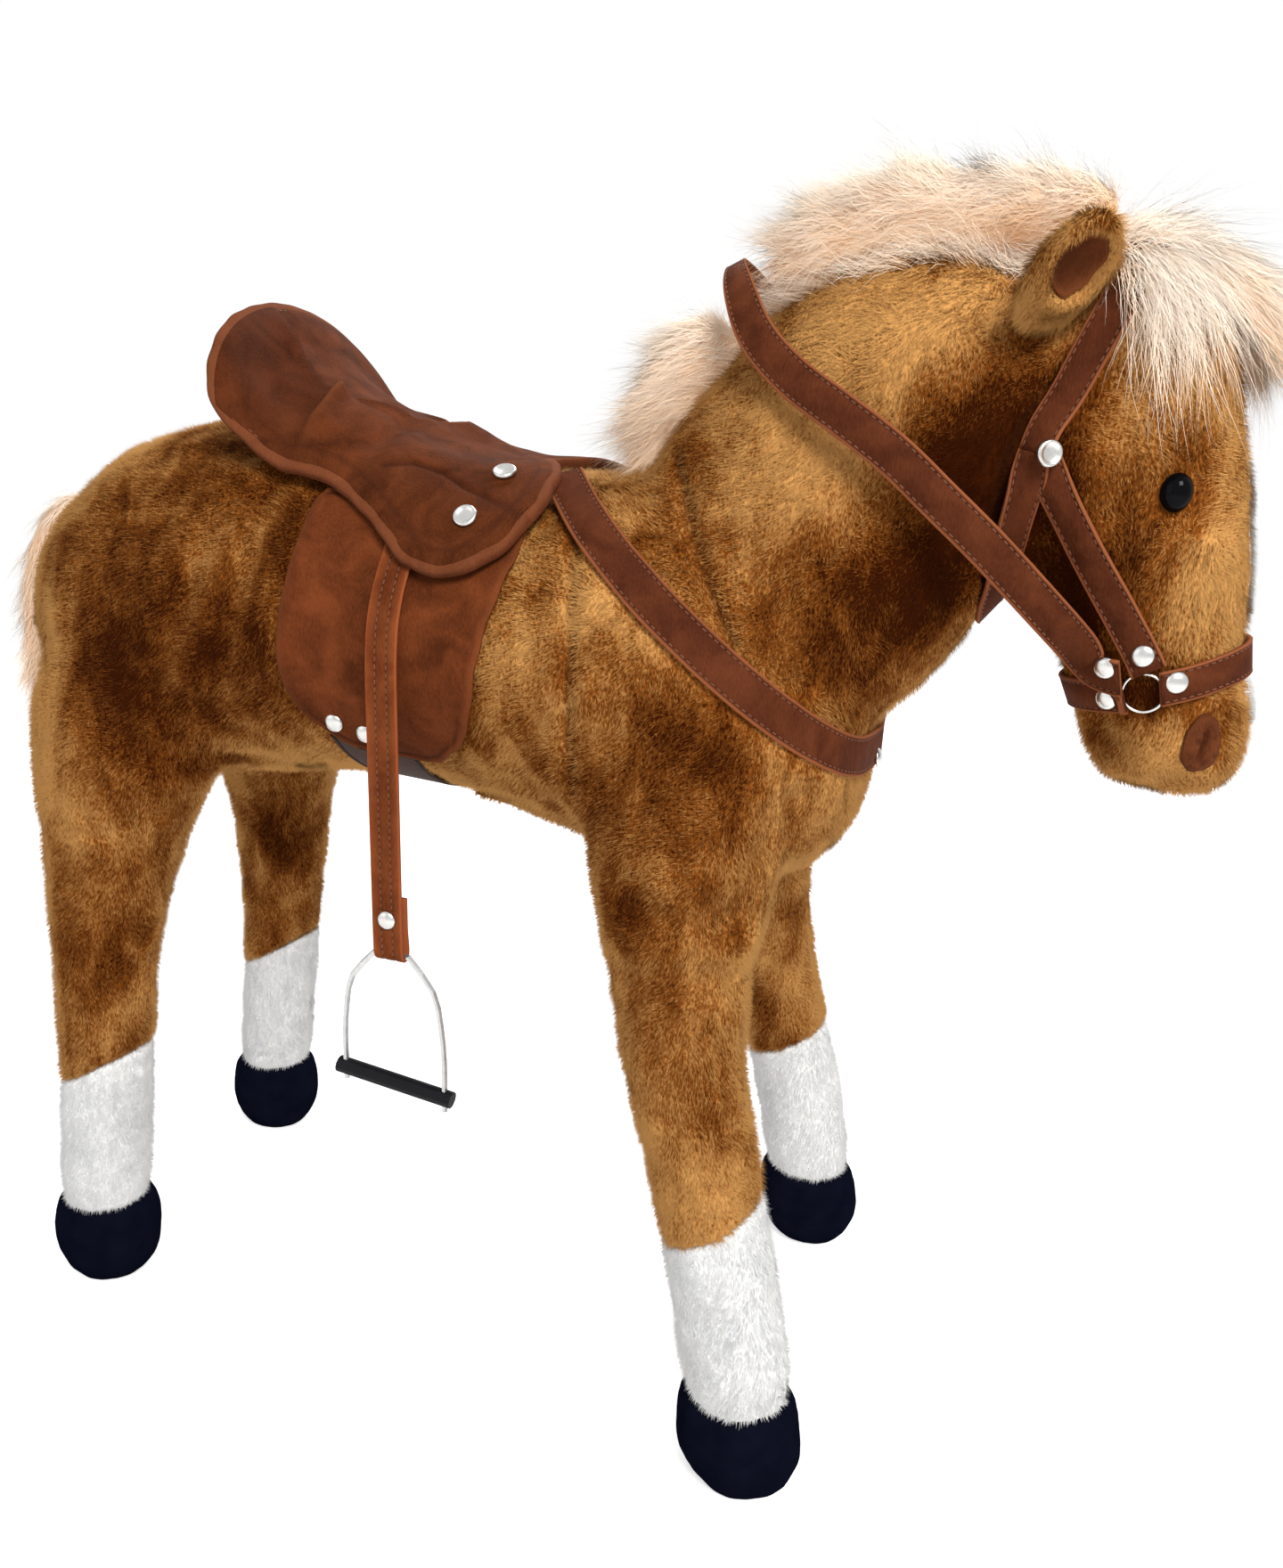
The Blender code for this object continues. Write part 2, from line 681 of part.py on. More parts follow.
def make_frame():
    spine_height = BODY_HEIGHT - FRAME_DROP + 2 * TUBE_RADIUS + SEAM
    rear, front = leg_frame_line(-1), leg_frame_line(1)
    overhang = 2 * TUBE_RADIUS
    spine = [
        Vector((rear[8].x - overhang, 0, spine_height)),
        Vector((front[8].x + overhang, 0, spine_height)),
    ]
    foot = Vector((front[8].x + TUBE_RADIUS / 2, 0, spine_height + TUBE_RADIUS + SEAM))
    rod = [foot, foot + Vector((0, 0, 2 * TUBE_RADIUS))]
    rod += [neck_point(row[0], row[1]) for row in NECK_SHARES[2:]]
    rod.append(head_point(0.30, 0.0))
    for name, line in (
        ("rear_leg_frame", rear),
        ("front_leg_frame", front),
        ("spine_tube", spine),
        ("neck_rod", rod),
    ):
        tube(name, line, TUBE_RADIUS, "steel")
        tube(name + "_bore", widened(line), TUBE_RADIUS + BORE_CLEARANCE, None, BORES)


def widened(line):
    """The same line with each end a clearance longer, so that the bore clears the tube's ends too."""
    first = line[0] + (line[0] - line[1]).normalized() * BORE_CLEARANCE
    last = line[-1] + (line[-1] - line[-2]).normalized() * BORE_CLEARANCE
    return [first, *line[1:-1], last]


def make_body():
    """The sewn and stuffed body over its frame, each smaller form cut by the larger one it is sewn to."""
    torso = make_torso()
    neck = make_neck()
    head = make_head()
    make_frame()
    torso_gap = grown(torso, SEAM)
    neck_gap = grown(neck, SEAM)
    head_gap = grown(head, SEAM)
    cut(neck, torso_gap)
    cut(head, neck_gap)
    cut(head, torso_gap)
    for end in (-1, 1):
        for side in (-1, 1):
            make_leg(end, side, torso_gap)
    for piece in (torso, neck, head):
        cut_by_bores(piece)
    return head, torso_gap, neck_gap, head_gap


def surface_of(made):
    """A search tree of an object's finished surface, in world space."""
    mesh = evaluated_mesh(made)
    mesh.transform(made.matrix_world)
    shape = bmesh.new()
    shape.from_mesh(mesh)
    tree = BVHTree.FromBMesh(shape)
    shape.free()
    bpy.data.meshes.remove(mesh)
    return tree


def make_skin(forms):
    """The outside of torso, neck and head as one surface, which the tack is laid on."""
    skin = grown(forms[0], 0)
    skin.name = "plush_skin"
    skin.data = forms[0].data
    for form in forms[1:]:
        joined = skin.modifiers.new("with_" + form.name, "BOOLEAN")
        joined.operation = "UNION"
        joined.object = form
    bpy.context.view_layer.update()
    return surface_of(skin)


HEAD, TORSO_GAP, NECK_GAP, HEAD_GAP = make_body()
SKIN = make_skin((TORSO_GAP, NECK_GAP, HEAD_GAP))


def pressed(core, outward, surface=SKIN, reach=REACH):
    """Where the surface is met, and its normal, looking back at the core from this far outside."""
    aim = outward.normalized()
    point, normal, *_ = surface.ray_cast(core + aim * reach, -aim)
    return point, normal


def evenly(route, step):
    """The route's points taken at even steps, with both ends kept."""
    lengths = [(b[0] - a[0]).length for a, b in zip(route, route[1:])]
    count = max(2, round(sum(lengths) / step))
    found = [route[0]]
    walked, want = 0, sum(lengths) / count
    for place, length in enumerate(lengths):
        walked += length
        if walked >= want * len(found) and len(found) < count:
            found.append(route[place + 1])
    return [*found, route[-1]]


def loop_route(core, forward, start, end, reach=REACH):
    """Points round a limb, where rays in the plane of forward and the horse's left meet the skin."""
    rays = round(abs(end - start) / RAY_STEP)
    route = []
    for ray in range(rays + 1):
        angle = start + (end - start) * ray / rays
        aim = forward * math.cos(angle) + Vector((0, math.sin(angle), 0))
        route.append(pressed(core, aim, SKIN, reach))
    return evenly(route, STRAP_STEP)


def line_route(start, end, side):
    """Points on the horse's side, straight from start to end as seen from there."""
    count = round((end - start).length / STRAP_STEP)
    return [pressed(start.lerp(end, place / count), Vector((0, side, 0))) for place in range(count + 1)]


def sheet(name, rows, core, thickness, finish, collection=HORSE):
    """A strap or flap: a grid of points, thickened away from the core by Solidify."""
    shape = bmesh.new()
    grid = [[shape.verts.new(point) for point in row] for row in rows]
    for row, after in zip(grid, grid[1:]):
        for place in range(len(row) - 1):
            shape.faces.new((row[place], row[place + 1], after[place + 1], after[place]))
    bmesh.ops.recalc_face_normals(shape, faces=shape.faces)
    shape.normal_update()
    facing = sum(face.normal.dot(face.calc_center_median() - core) * face.calc_area() for face in shape.faces)
    if facing < 0:
        bmesh.ops.reverse_faces(shape, faces=shape.faces)
    made = object_from(name, shape, finish, collection)
    shell = made.modifiers.new("thickness", "SOLIDIFY")
    shell.thickness = thickness
    shell.offset = 1.0
    shell.use_even_offset = True
    return made


def strap_rows(route, width, lift):
    """Three points across the strap at each point of its route, each laid on the skin."""
    rows = []
    for place, (point, normal) in enumerate(route):
        before, after = route[max(place - 1, 0)][0], route[min(place + 1, len(route) - 1)][0]
        across = (after - before).cross(normal).normalized() * width / 2
        row = []
        for share in (-1, 0, 1):
            spot, outward, *_ = SKIN.find_nearest(point + across * share + normal * lift)
            row.append(spot + outward * lift)
        rows.append(row)
    return rows


def strap(name, route, width, core, cutters, thickness=STRAP_THICKNESS, finish="suede"):
    """A strap laid on the skin, and cleared where a fold of the plush would stand through it."""
    made = sheet(name, strap_rows(route, width, LAY), core, thickness, finish)
    split(made)
    for cutter in cutters:
        cut(made, cutter)
    return made


def side_name(side):
    return "right" if side < 0 else "left"


# Ears and face
def ear_frame(side):
    """The ear's root, and its directions along, across and facing."""
    root = head_point(*EAR_ROOT_SHARES[:2]) + Vector((0, side * EAR_ROOT_SHARES[2] * HEAD_WIDTH, 0))
    along = Vector((EAR_RISE[0], side * EAR_RISE[1], EAR_RISE[2])).normalized()
    facing = Vector((EAR_FACING[0], side * EAR_FACING[1], EAR_FACING[2]))
    facing = (facing - along * facing.dot(along)).normalized()
    return root, along, facing.cross(along), facing


def make_ear(side):
    root, along, across, facing = ear_frame(side)
    rings = []
    for rise, half_width, half_depth in EAR_SHARES:
        centre = root + along * rise * EAR_LENGTH
        depth = half_depth * EAR_THICKNESS
        rings.append(oval(centre, across * half_width * EAR_WIDTH, facing, depth, depth))
    ends = [root + along * share * EAR_LENGTH for share in EAR_END_SHARES]
    ear = soft_form("ear_" + side_name(side), rings, ends, "brown_plush")
    surface = surface_of(ear)
    cut(ear, HEAD_GAP)
    middle = root + along * EAR_LENGTH * LINING_SHARES[0]
    half_height, half_width = EAR_LENGTH * LINING_SHARES[1], EAR_WIDTH * LINING_SHARES[2]
    rows = oval_rows(middle, along * half_height, across * half_width, facing, PATCH_LIFT, surface)
    sheet("ear_lining_" + side_name(side), rows, root, LINING_THICKNESS, "suede")


def oval_rows(middle, along, across, outward, lift, surface=SKIN):
    """Rows of points over an oval, each laid on the surface."""
    rows = []
    for row_share in OVAL_SHARES:
        reach = math.sqrt(1 - row_share**2)
        row = []
        for place_share in PATCH_ACROSS_SHARES:
            aim = middle + along * row_share + across * reach * place_share
            point, normal = pressed(aim, outward, surface)
            row.append(point + normal * lift)
        rows.append(row)
    return rows


def make_eye(side):
    """A domed eye in a shallow socket of the head."""
    point, normal = pressed(head_point(*EYE_SHARES), Vector((0, side, 0)))
    turn = Vector((0, 0, 1)).rotation_difference(normal).to_matrix().to_4x4()
    for name, collection, gap in (("eye_", HORSE, 0), ("eye_socket_", GUIDES, SEAM)):
        shape = bmesh.new()
        bmesh.ops.create_uvsphere(shape, u_segments=16, v_segments=8, radius=1)
        size = Matrix.Diagonal((EYE_RADIUS + gap, EYE_RADIUS + gap, EYE_BULGE + gap, 1))
        shape.transform(Matrix.Translation(point) @ turn @ size)
        made = object_from(name + side_name(side), shape, "eye_plastic", collection)
    cut(HEAD, made)


def make_face():
    for side in (-1, 1):
        make_ear(side)
        make_eye(side)
        outward = Vector((NOSTRIL_TURN_SHARES[0], side * NOSTRIL_TURN_SHARES[1], 0))
        aim = head_point(*NOSTRIL_SHARES)
        across = Vector((-outward.y, outward.x, 0)).normalized() * NOSTRIL_WIDTH / 2
        rows = oval_rows(aim, Vector((0, 0, NOSTRIL_LENGTH / 2)), across, outward, PATCH_LIFT)
        sheet("nostril_" + side_name(side), rows, aim, NOSTRIL_THICKNESS, "suede")
    for name, (top, bottom) in (("face_blaze", BLAZE_SHARES), ("muzzle_snip", SNIP_SHARES)):
        middle = head_point((top + bottom) / 2, 0)
        reach = Vector((0, 0, (bottom - top) / 2 * HEAD_LENGTH))
        rows = oval_rows(middle, reach, across_by(BLAZE_WIDTH / 2), Vector((1, 0, 0)), PATCH_LIFT)
        sheet(name, rows, middle, BLAZE_THICKNESS, "white_plush")


make_face()


# Saddle
def seat_point(place, across_share):
    """A point of the seat's underside: along the back by station, round the barrel by share of its reach."""
    along, edge, rise, edge_rise, setback = SEAT_SHARES[place]
    angle = across_share * edge * math.pi / 2
    hump = math.cos(across_share * math.pi / 2) ** 2
    lift = (edge_rise + (rise - edge_rise) * hump) * CANTLE_RISE
    lean = setback * hump * CANTLE_LEAN
    axis = torso_point(SEAT_REAR_SHARE, 0) + Vector((along * SEAT_LENGTH, 0, 0))
    point, normal = pressed(axis, Vector((0, math.sin(angle), math.cos(angle))))
    return point + normal * SEAT_LIFT + Vector((-lean, 0, lift))


def make_seat():
    shares = [2 * place / (SEAT_PLACES - 1) - 1 for place in range(SEAT_PLACES)]
    rows = [[seat_point(place, share) for share in shares] for place in range(len(SEAT_SHARES))]
    seat = sheet("saddle_seat", rows, torso_point(0, 0), SEAT_THICKNESS, "suede")
    smoothed(seat)
    return seat


def make_flap(side):
    top = torso_point(*FLAP_TOP_SHARES)
    rows = []
    for drop, back, front in FLAP_SHARES:
        row = []
        for across in FLAP_ACROSS_SHARES:
            along = (back + (front - back) * across) * FLAP_WIDTH
            point, normal = pressed(top + Vector((along, 0, -drop * FLAP_LENGTH)), Vector((0, side, 0)))
            row.append(point + normal * FLAP_LIFT)
        rows.append(row)
    flap = sheet("saddle_flap_" + side_name(side), rows, torso_point(0, 0), FLAP_THICKNESS, "suede")
    split(flap)
    cut(flap, TORSO_GAP)
    return flap


def make_rivet(name, point, normal):
    """A low domed cap, turned about its own axis and set on the surface."""
    outline = bmesh.new()
    dots = [outline.verts.new((out * RIVET_RADIUS, 0, up * RIVET_HEIGHT)) for out, up in RIVET_SHARES]
    for dot, after in zip(dots, dots[1:]):
        outline.edges.new((dot, after))
    rivet = object_from(name, outline, "nickel")
    turned = rivet.modifiers.new("turned", "SCREW")
    turned.steps = 12
    turned.render_steps = 12
    turned.use_merge_vertices = True
    turned.merge_threshold = RIVET_RADIUS / 100
    rivet.location = point + normal * RIVET_LIFT
    rivet.rotation_mode = "QUATERNION"
    rivet.rotation_quaternion = Vector((0, 0, 1)).rotation_difference(normal)
    return rivet


def girth_angle(core):
    """How far round the barrel from below the girth goes, to end under the lower flaps."""
    height = torso_point(*FLAP_TOP_SHARES).z - FLAP_LENGTH + GIRTH_TUCK
    angle = 0
    while pressed(core, Vector((0, math.sin(angle), -math.cos(angle))))[0].z < height:
        angle += RAY_STEP
    return angle


def make_saddle():
    seat = make_seat()
    top = surface_of(seat)
    for side in (-1, 1):
        flap = make_flap(side)
        for number, shares in enumerate(WING_RIVET_SHARES):
            point, normal = pressed(torso_point(*shares), Vector((0, side, 0)), top)
            make_rivet(f"wing_rivet_{side_name(side)}_{number + 1}", point, normal)
    core = torso_point(GIRTH_SHARE, 0)
    angle = girth_angle(core)
    route = loop_route(core, Vector((0, 0, -1)), -angle, angle)
    strap("girth", route, GIRTH_WIDTH, core, (TORSO_GAP,), GIRTH_THICKNESS, "dark_webbing")
    core = torso_point(*BREAST_CORE_SHARES)
    route = loop_route(core, Vector(BREAST_FORWARD), -BREAST_ANGLE, BREAST_ANGLE)
    strap("breast_strap", route, STRAP_WIDTH, core, (TORSO_GAP, NECK_GAP))
    return seat, flap


# Bridle
def make_bridle():
    crown_core = head_point(*CROWN_CORE_SHARES)
    crown_forward = Vector(CROWN_FORWARD)
    crown = loop_route(crown_core, crown_forward, -CROWN_ANGLE, CROWN_ANGLE, HEAD_REACH)
    throat_core, throat_up = head_point(*THROAT_CORE_SHARES), Vector(THROAT_FORWARD)
    throat = loop_route(throat_core, throat_up, THROAT_ANGLE, 2 * math.pi - THROAT_ANGLE, THROAT_REACH)
    over_poll = (HEAD_GAP, NECK_GAP)
    strap("crown_strap", crown, BRIDLE_WIDTH, crown_core, over_poll)
    rows = strap_rows(crown, BRIDLE_WIDTH + 2 * SEAM, -STRAP_THICKNESS)
    hollow = 2 * STRAP_THICKNESS + LAY + SEAM
    crown_gap = sheet("crown_clearance", rows, crown_core, hollow, None, GUIDES)
    strap("throat_strap", throat, BRIDLE_WIDTH, crown_core, over_poll)
    muzzle_core = head_point(*MUZZLE_CORE_SHARES)
    muzzle_forward = Vector(MUZZLE_FORWARD)
    nose = loop_route(muzzle_core, muzzle_forward, -NOSE_ANGLE, NOSE_ANGLE, HEAD_REACH)
    chin = loop_route(muzzle_core, muzzle_forward, CHIN_ANGLE, 2 * math.pi - CHIN_ANGLE, CHIN_REACH)
    strap("noseband", nose, BRIDLE_WIDTH, muzzle_core, (HEAD_GAP,))
    strap("chin_strap", chin, BRIDLE_WIDTH, muzzle_core, (HEAD_GAP,))
    for side in (-1, 1):
        aside = Vector((0, side, 0))
        rivet = pressed(crown_core, crown_forward * math.cos(RIVET_ANGLE) + aside * math.sin(RIVET_ANGLE))
        ring = pressed(muzzle_core, muzzle_forward * math.cos(RING_ANGLE) + aside * math.sin(RING_ANGLE))
        above = Vector((rivet[0].x, 0, rivet[0].z))
        below = Vector((ring[0].x, 0, ring[0].z))
        start, end = above.lerp(below, CHEEK_START_SHARE), above.lerp(below, CHEEK_END_SHARE)
        route = line_route(start, end, side)
        strap("cheek_strap_" + side_name(side), route, BRIDLE_WIDTH, crown_core, (HEAD_GAP,))
        cap = rivet[0] + rivet[1] * (LAY + STRAP_THICKNESS)
        make_rivet("cheek_rivet_" + side_name(side), cap, rivet[1])
        make_ring(side, ring[0] + ring[1] * (LAY + STRAP_THICKNESS + RING_WIRE - RING_SINK), ring[1])
    make_reins()
    return crown_gap


def make_ring(side, centre, normal):
    shape = bmesh.new()
    turn = Vector((0, 0, 1)).rotation_difference(normal).to_matrix().to_4x4()
    outline = bmesh.ops.create_circle(shape, segments=6, radius=RING_WIRE)["verts"]
    stand = Matrix.Translation((RING_RADIUS, 0, 0)) @ Matrix.Rotation(math.pi / 2, 4, "X")
    bmesh.ops.transform(shape, matrix=stand, verts=outline)
    bmesh.ops.spin(
        shape, geom=shape.edges[:], cent=(0, 0, 0), axis=(0, 0, 1), angle=2 * math.pi, steps=20
    )
    bmesh.ops.remove_doubles(shape, verts=shape.verts, dist=RING_WIRE / 100)
    shape.transform(Matrix.Translation(centre) @ turn)
    bmesh.ops.recalc_face_normals(shape, faces=shape.faces)
    return object_from("halter_ring_" + side_name(side), shape, "nickel")


def make_reins():
    """Both reins and their loop over the crest as one strap, free of the neck except where it would touch."""
    half = []
    for forward, drop, spread in REIN_SHARES:
        half.append(head_point(drop, forward) - across_by(spread * HEAD_WIDTH / 2))
    half = smooth_through(half, 2)
    turns = smooth_through([Vector((share, 0, 0)) for share in REIN_TURN_SHARES], 2)
    route = []
    for point, turn in zip(half, turns):
        angle = turn.x * math.pi / 2
        route.append((point, Vector((-math.sin(angle) / 2, -math.cos(angle), math.sin(angle))).normalized()))
    for point, normal in reversed(route[:-1]):
        route.append((point * Vector((1, -1, 1)), normal * Vector((1, -1, 1))))
    rows = []
    for place, (point, normal) in enumerate(route):
        before, after = route[max(place - 1, 0)][0], route[min(place + 1, len(route) - 1)][0]
        across = (after - before).cross(normal).normalized() * STRAP_WIDTH / 2
        rows.append([clear_of_skin(point + across * share, REIN_LIFT) for share in (-1, 0, 1)])
    sheet("reins", rows, neck_point(*NECK_SHARES[2][:2]), STRAP_THICKNESS, "suede")


def clear_of_skin(point, lift):
    """The point itself, or the nearest one that is this far out from the skin."""
    spot, outward, *_ = SKIN.find_nearest(point)
    if (point - spot).dot(outward) < lift:
        return spot + outward * lift
    return point


# Hair
def hair_form(name, centres, halves, ends, cutters):
    """A tuft or crest of long hair as one closed form, cut clear of what it grows from."""
    line = [ends[0], *centres, ends[1]]
    rings = []
    for place, (across, depth) in enumerate(halves):
        along = (line[place + 2] - line[place]).normalized()
        forward = Vector((along.z, 0, -along.x))
        rings.append(oval(centres[place], across_by(across), forward, depth, depth))
    tuft = soft_form(name, rings, ends, "pale_hair")
    for cutter in cutters:
        cut(tuft, cutter)
    return tuft


def make_parting():
    """A slab across the crest where the mane parts for the reins."""
    half = STRAP_WIDTH / 2 + PARTING_GAP
    parting = box("mane_parting", (-half, -MANE_WIDTH, -NECK_DEPTH), (half, MANE_WIDTH, NECK_DEPTH))
    crest = head_point(REIN_SHARES[-1][1], REIN_SHARES[-1][0])
    parting.data.transform(Matrix.Translation(crest) @ Matrix.Rotation(-PARTING_TILT, 4, "Y"))
    return parting


def make_hair(crown_gap):
    parting = make_parting()
    for name, table, width, cutters in (
        ("mane_upper", UPPER_MANE_SHARES, MANE_WIDTH, (NECK_GAP, HEAD_GAP)),
        ("mane_lower", LOWER_MANE_SHARES, MANE_WIDTH, (TORSO_GAP, NECK_GAP)),
        ("forelock", FORELOCK_SHARES, FORELOCK_WIDTH, (HEAD_GAP, crown_gap)),
    ):
        centres = [neck_point(row[0], row[1]) for row in table]
        ends = [centres[0] * 1.5 - centres[1] * 0.5, centres[-1] * 1.5 - centres[-2] * 0.5]
        halves = [(row[3] * width, row[2] * MANE_HEIGHT) for row in table]
        tuft = hair_form(name, centres, halves, ends, cutters)
        if name != "forelock":
            cut(tuft, parting)
    dock, _ = pressed(torso_point(0, DOCK_SHARE), Vector((-1, 0, 0)))
    hinge, outward = pressed(torso_point(0, TAIL_HINGE_SHARE), Vector((-1, 0, 0)))

    def tail_point(back, down):
        return dock - Vector((back, 0, down)) * TAIL_LENGTH

    centres = [tail_point(row[0], row[1]) for row in TAIL_SHARES]
    ends = [tail_point(*shares) for shares in TAIL_END_SHARES]
    halves = [(row[2] * TAIL_WIDTH, row[3] * TAIL_THICKNESS) for row in TAIL_SHARES]
    hung_from(hair_form("tail", centres, halves, ends, (TORSO_GAP,)), hinge + outward * SEAM)


# Belly flap
def make_belly_flap():
    """A closure flap that hugs the belly, hinged along its left edge."""
    middle = torso_point(BELLY_FLAP_SHARE, 0)
    rows = []
    for along in BELLY_ROW_SHARES:
        row = []
        for across in BELLY_ROW_SHARES:
            aim = middle + Vector((along * BELLY_FLAP_LENGTH, across * BELLY_FLAP_WIDTH, 0))
            point, normal = pressed(aim, Vector((0, 0, -1)))
            row.append(point + normal * LAY)
        rows.append(row)
    flap = sheet("belly_flap", rows, middle, BELLY_FLAP_THICKNESS, "brown_plush")
    first, last = rows[0][-1], rows[-1][-1]
    print("belly_flap axis", [round(value, 5) for value in (last - first).normalized()])
    return hung_from(flap, first.lerp(last, 0.5))


# Stirrups
def leather_hinge(seat, flap):
    """The leather's upper outer edge: close under the seat's lower edge, with the leather against the flap."""
    near = LEATHER_WIDTH / 2
    middle = BODY_X + LEATHER_X
    lowest = min(
        (seat.matrix_world @ vertex.co).z
        for vertex in evaluated_mesh(seat).vertices
        if abs(vertex.co.x - middle) < near
    )
    surface = surface_of(flap)
    reach = 0
    for step in range(LEATHER_STEPS):
        for forward in (-near, 0, near):
            height = lowest - FLAP_LENGTH * step / LEATHER_STEPS
            point, _ = pressed(Vector((middle + forward, 0, height)), Vector((0, 1, 0)), surface)
            if point:
                reach = max(reach, point.y)
    return Vector((middle, reach + SEAM + LEATHER_THICKNESS, lowest - LEATHER_GAP))


def leather_outlines(length):
    """The strap seen from its edge, hinged at the origin, with an eye for the iron at its lower end."""
    inner = IRON_WIRE + IRON_CLEARANCE
    outer = inner + EYE_WALL
    half = LEATHER_THICKNESS / 2
    shoulder = math.acos(half / outer)
    strip = [(-LEATHER_THICKNESS, 0)]
    for step in range(EYE_STEPS + 1):
        angle = math.pi - shoulder + (math.pi + 2 * shoulder) * step / EYE_STEPS
        strip.append((outer * math.cos(angle) - half, outer * math.sin(angle) - length))
    strip.append((0, 0))
    eye = []
    for step in range(EYE_STEPS):
        angle = 2 * math.pi * step / EYE_STEPS
        eye.append((inner * math.cos(angle) - half, inner * math.sin(angle) - length))
    return strip, eye


def make_stirrup(hinge, side):
    """The leather on its hinge, and the iron with its tread in the leather's eye."""
    curve = bpy.data.curves.new("stirrup_leather", "CURVE")
    curve.dimensions = "2D"
    curve.fill_mode = "BOTH"
    curve.extrude = LEATHER_WIDTH / 2
    length = RIGHT_LEATHER_LENGTH if side < 0 else LEFT_LEATHER_LENGTH
    for outline in leather_outlines(length):
        line = curve.splines.new("POLY")
        line.points.add(len(outline) - 1)
        line.use_cyclic_u = True
        for place, (out, up) in zip(line.points, outline):
            place.co = (out, up, 0, 1)
    curve.materials.append(finish_named("suede"))
    leather = bpy.data.objects.new("stirrup_leather_" + side_name(side), curve)
    HORSE.objects.link(leather)
    turn = Matrix(((0, 0, side), (side, 0, 0), (0, 1, 0))).to_4x4()
    hinge = Vector((hinge.x, side * hinge.y, hinge.z))
    leather.matrix_world = Matrix.Translation(hinge) @ turn
    print(leather.name, "turns about", [round(value, 5) for value in hinge])
    bar = hinge - Vector((0, side * LEATHER_THICKNESS / 2, length))
    make_iron(bar, side)


def make_iron(bar, side):
    """A bent wire through the leather's eye, its two tails passed down through the tread."""
    out, down = Vector((IRON_WIDTH, 0, 0)), Vector((0, 0, -IRON_HEIGHT))
    leg = [out * share + down * drop for share, drop in IRON_SHARES]
    corner = Vector((IRON_BAR / 2, 0, 0))
    leg = smooth_through([*leg, corner], 2)
    half = [leg[0] + Vector((0, 0, -IRON_TAIL)), *leg]
    level = half + [point - Vector((2 * point.x, 0, 0)) for point in reversed(half)]
    slope = math.tan(IRON_TILT) / IRON_HEIGHT
    line = [bar + point + Vector((0, 0, point.x * point.z * slope)) for point in level]
    hung_from(tube("stirrup_iron_" + side_name(side), line, IRON_WIRE, "steel"), bar)
    holes = tube("iron_holes_" + side_name(side), line, IRON_WIRE + BORE_CLEARANCE, None, GUIDES)
    shape = bmesh.new()
    bmesh.ops.create_cone(
        shape, cap_ends=True, segments=12, radius1=TREAD_RADIUS, radius2=TREAD_RADIUS, depth=TREAD_LENGTH
    )
    shape.transform(Matrix.Translation(bar + down) @ Matrix.Rotation(math.pi / 2 + IRON_TILT, 4, "Y"))
    tread = hung_from(object_from("stirrup_tread_" + side_name(side), shape, "tread_rubber"), bar)
    cut(tread, holes)


def make_tack():
    seat, flap = make_saddle()
    crown_gap = make_bridle()
    make_hair(crown_gap)
    make_belly_flap()
    hinge = leather_hinge(seat, flap)
    for side in (-1, 1):
        make_stirrup(hinge, side)


make_tack()
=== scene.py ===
# %% [markdown]
# A plush standing horse, dressed in cells.
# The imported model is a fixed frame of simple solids: body, legs, tack, hair. Each cell below takes one of
# them and gives it the surface that the real toy has: a crushed pile coat, a fluffy mane, sewn suede tack.
# The frame is loaded first, because every later piece is laid on it and rides on one of its bodies.

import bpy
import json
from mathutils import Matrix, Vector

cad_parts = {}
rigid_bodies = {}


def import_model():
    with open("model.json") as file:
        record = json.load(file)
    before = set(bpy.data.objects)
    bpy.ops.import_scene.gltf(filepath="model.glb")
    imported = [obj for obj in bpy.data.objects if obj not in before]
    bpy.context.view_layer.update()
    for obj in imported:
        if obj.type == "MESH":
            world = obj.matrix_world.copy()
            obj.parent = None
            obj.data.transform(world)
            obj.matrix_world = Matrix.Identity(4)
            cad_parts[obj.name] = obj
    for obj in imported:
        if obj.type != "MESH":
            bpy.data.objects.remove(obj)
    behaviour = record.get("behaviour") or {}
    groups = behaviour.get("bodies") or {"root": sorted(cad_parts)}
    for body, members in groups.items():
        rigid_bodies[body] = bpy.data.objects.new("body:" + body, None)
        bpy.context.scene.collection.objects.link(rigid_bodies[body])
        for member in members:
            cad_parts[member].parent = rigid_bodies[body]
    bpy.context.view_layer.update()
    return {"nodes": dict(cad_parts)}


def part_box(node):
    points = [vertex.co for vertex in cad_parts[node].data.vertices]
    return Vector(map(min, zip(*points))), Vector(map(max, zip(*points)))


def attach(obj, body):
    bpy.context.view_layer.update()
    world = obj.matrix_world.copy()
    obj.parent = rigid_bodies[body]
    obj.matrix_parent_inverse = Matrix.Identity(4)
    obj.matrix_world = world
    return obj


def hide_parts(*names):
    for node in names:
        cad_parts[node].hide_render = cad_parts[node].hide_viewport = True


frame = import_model()

# %% [markdown]
# The camera stands where the photographer stood: low on the horse's right, a little ahead of its shoulder.
# A camera's own axes are right, up and back, so those three vectors are the columns of its matrix.

# %% Camera
import json
import math

import bmesh
import bpy
import numpy as np
from mathutils import Matrix, Vector, noise
from mathutils.bvhtree import BVHTree

CAMERA_PLACE = Vector((0.2627, -0.638, 0.575))
CAMERA_TURN = math.radians(17.235)
CAMERA_PITCH = math.radians(16.827)
CAMERA_ROLL = math.radians(2.322)
CAMERA_LENS = 26.33


def linked(name, data):
    """An object with this data, placed in the scene."""
    made = bpy.data.objects.new(name, data)
    bpy.context.scene.collection.objects.link(made)
    return made


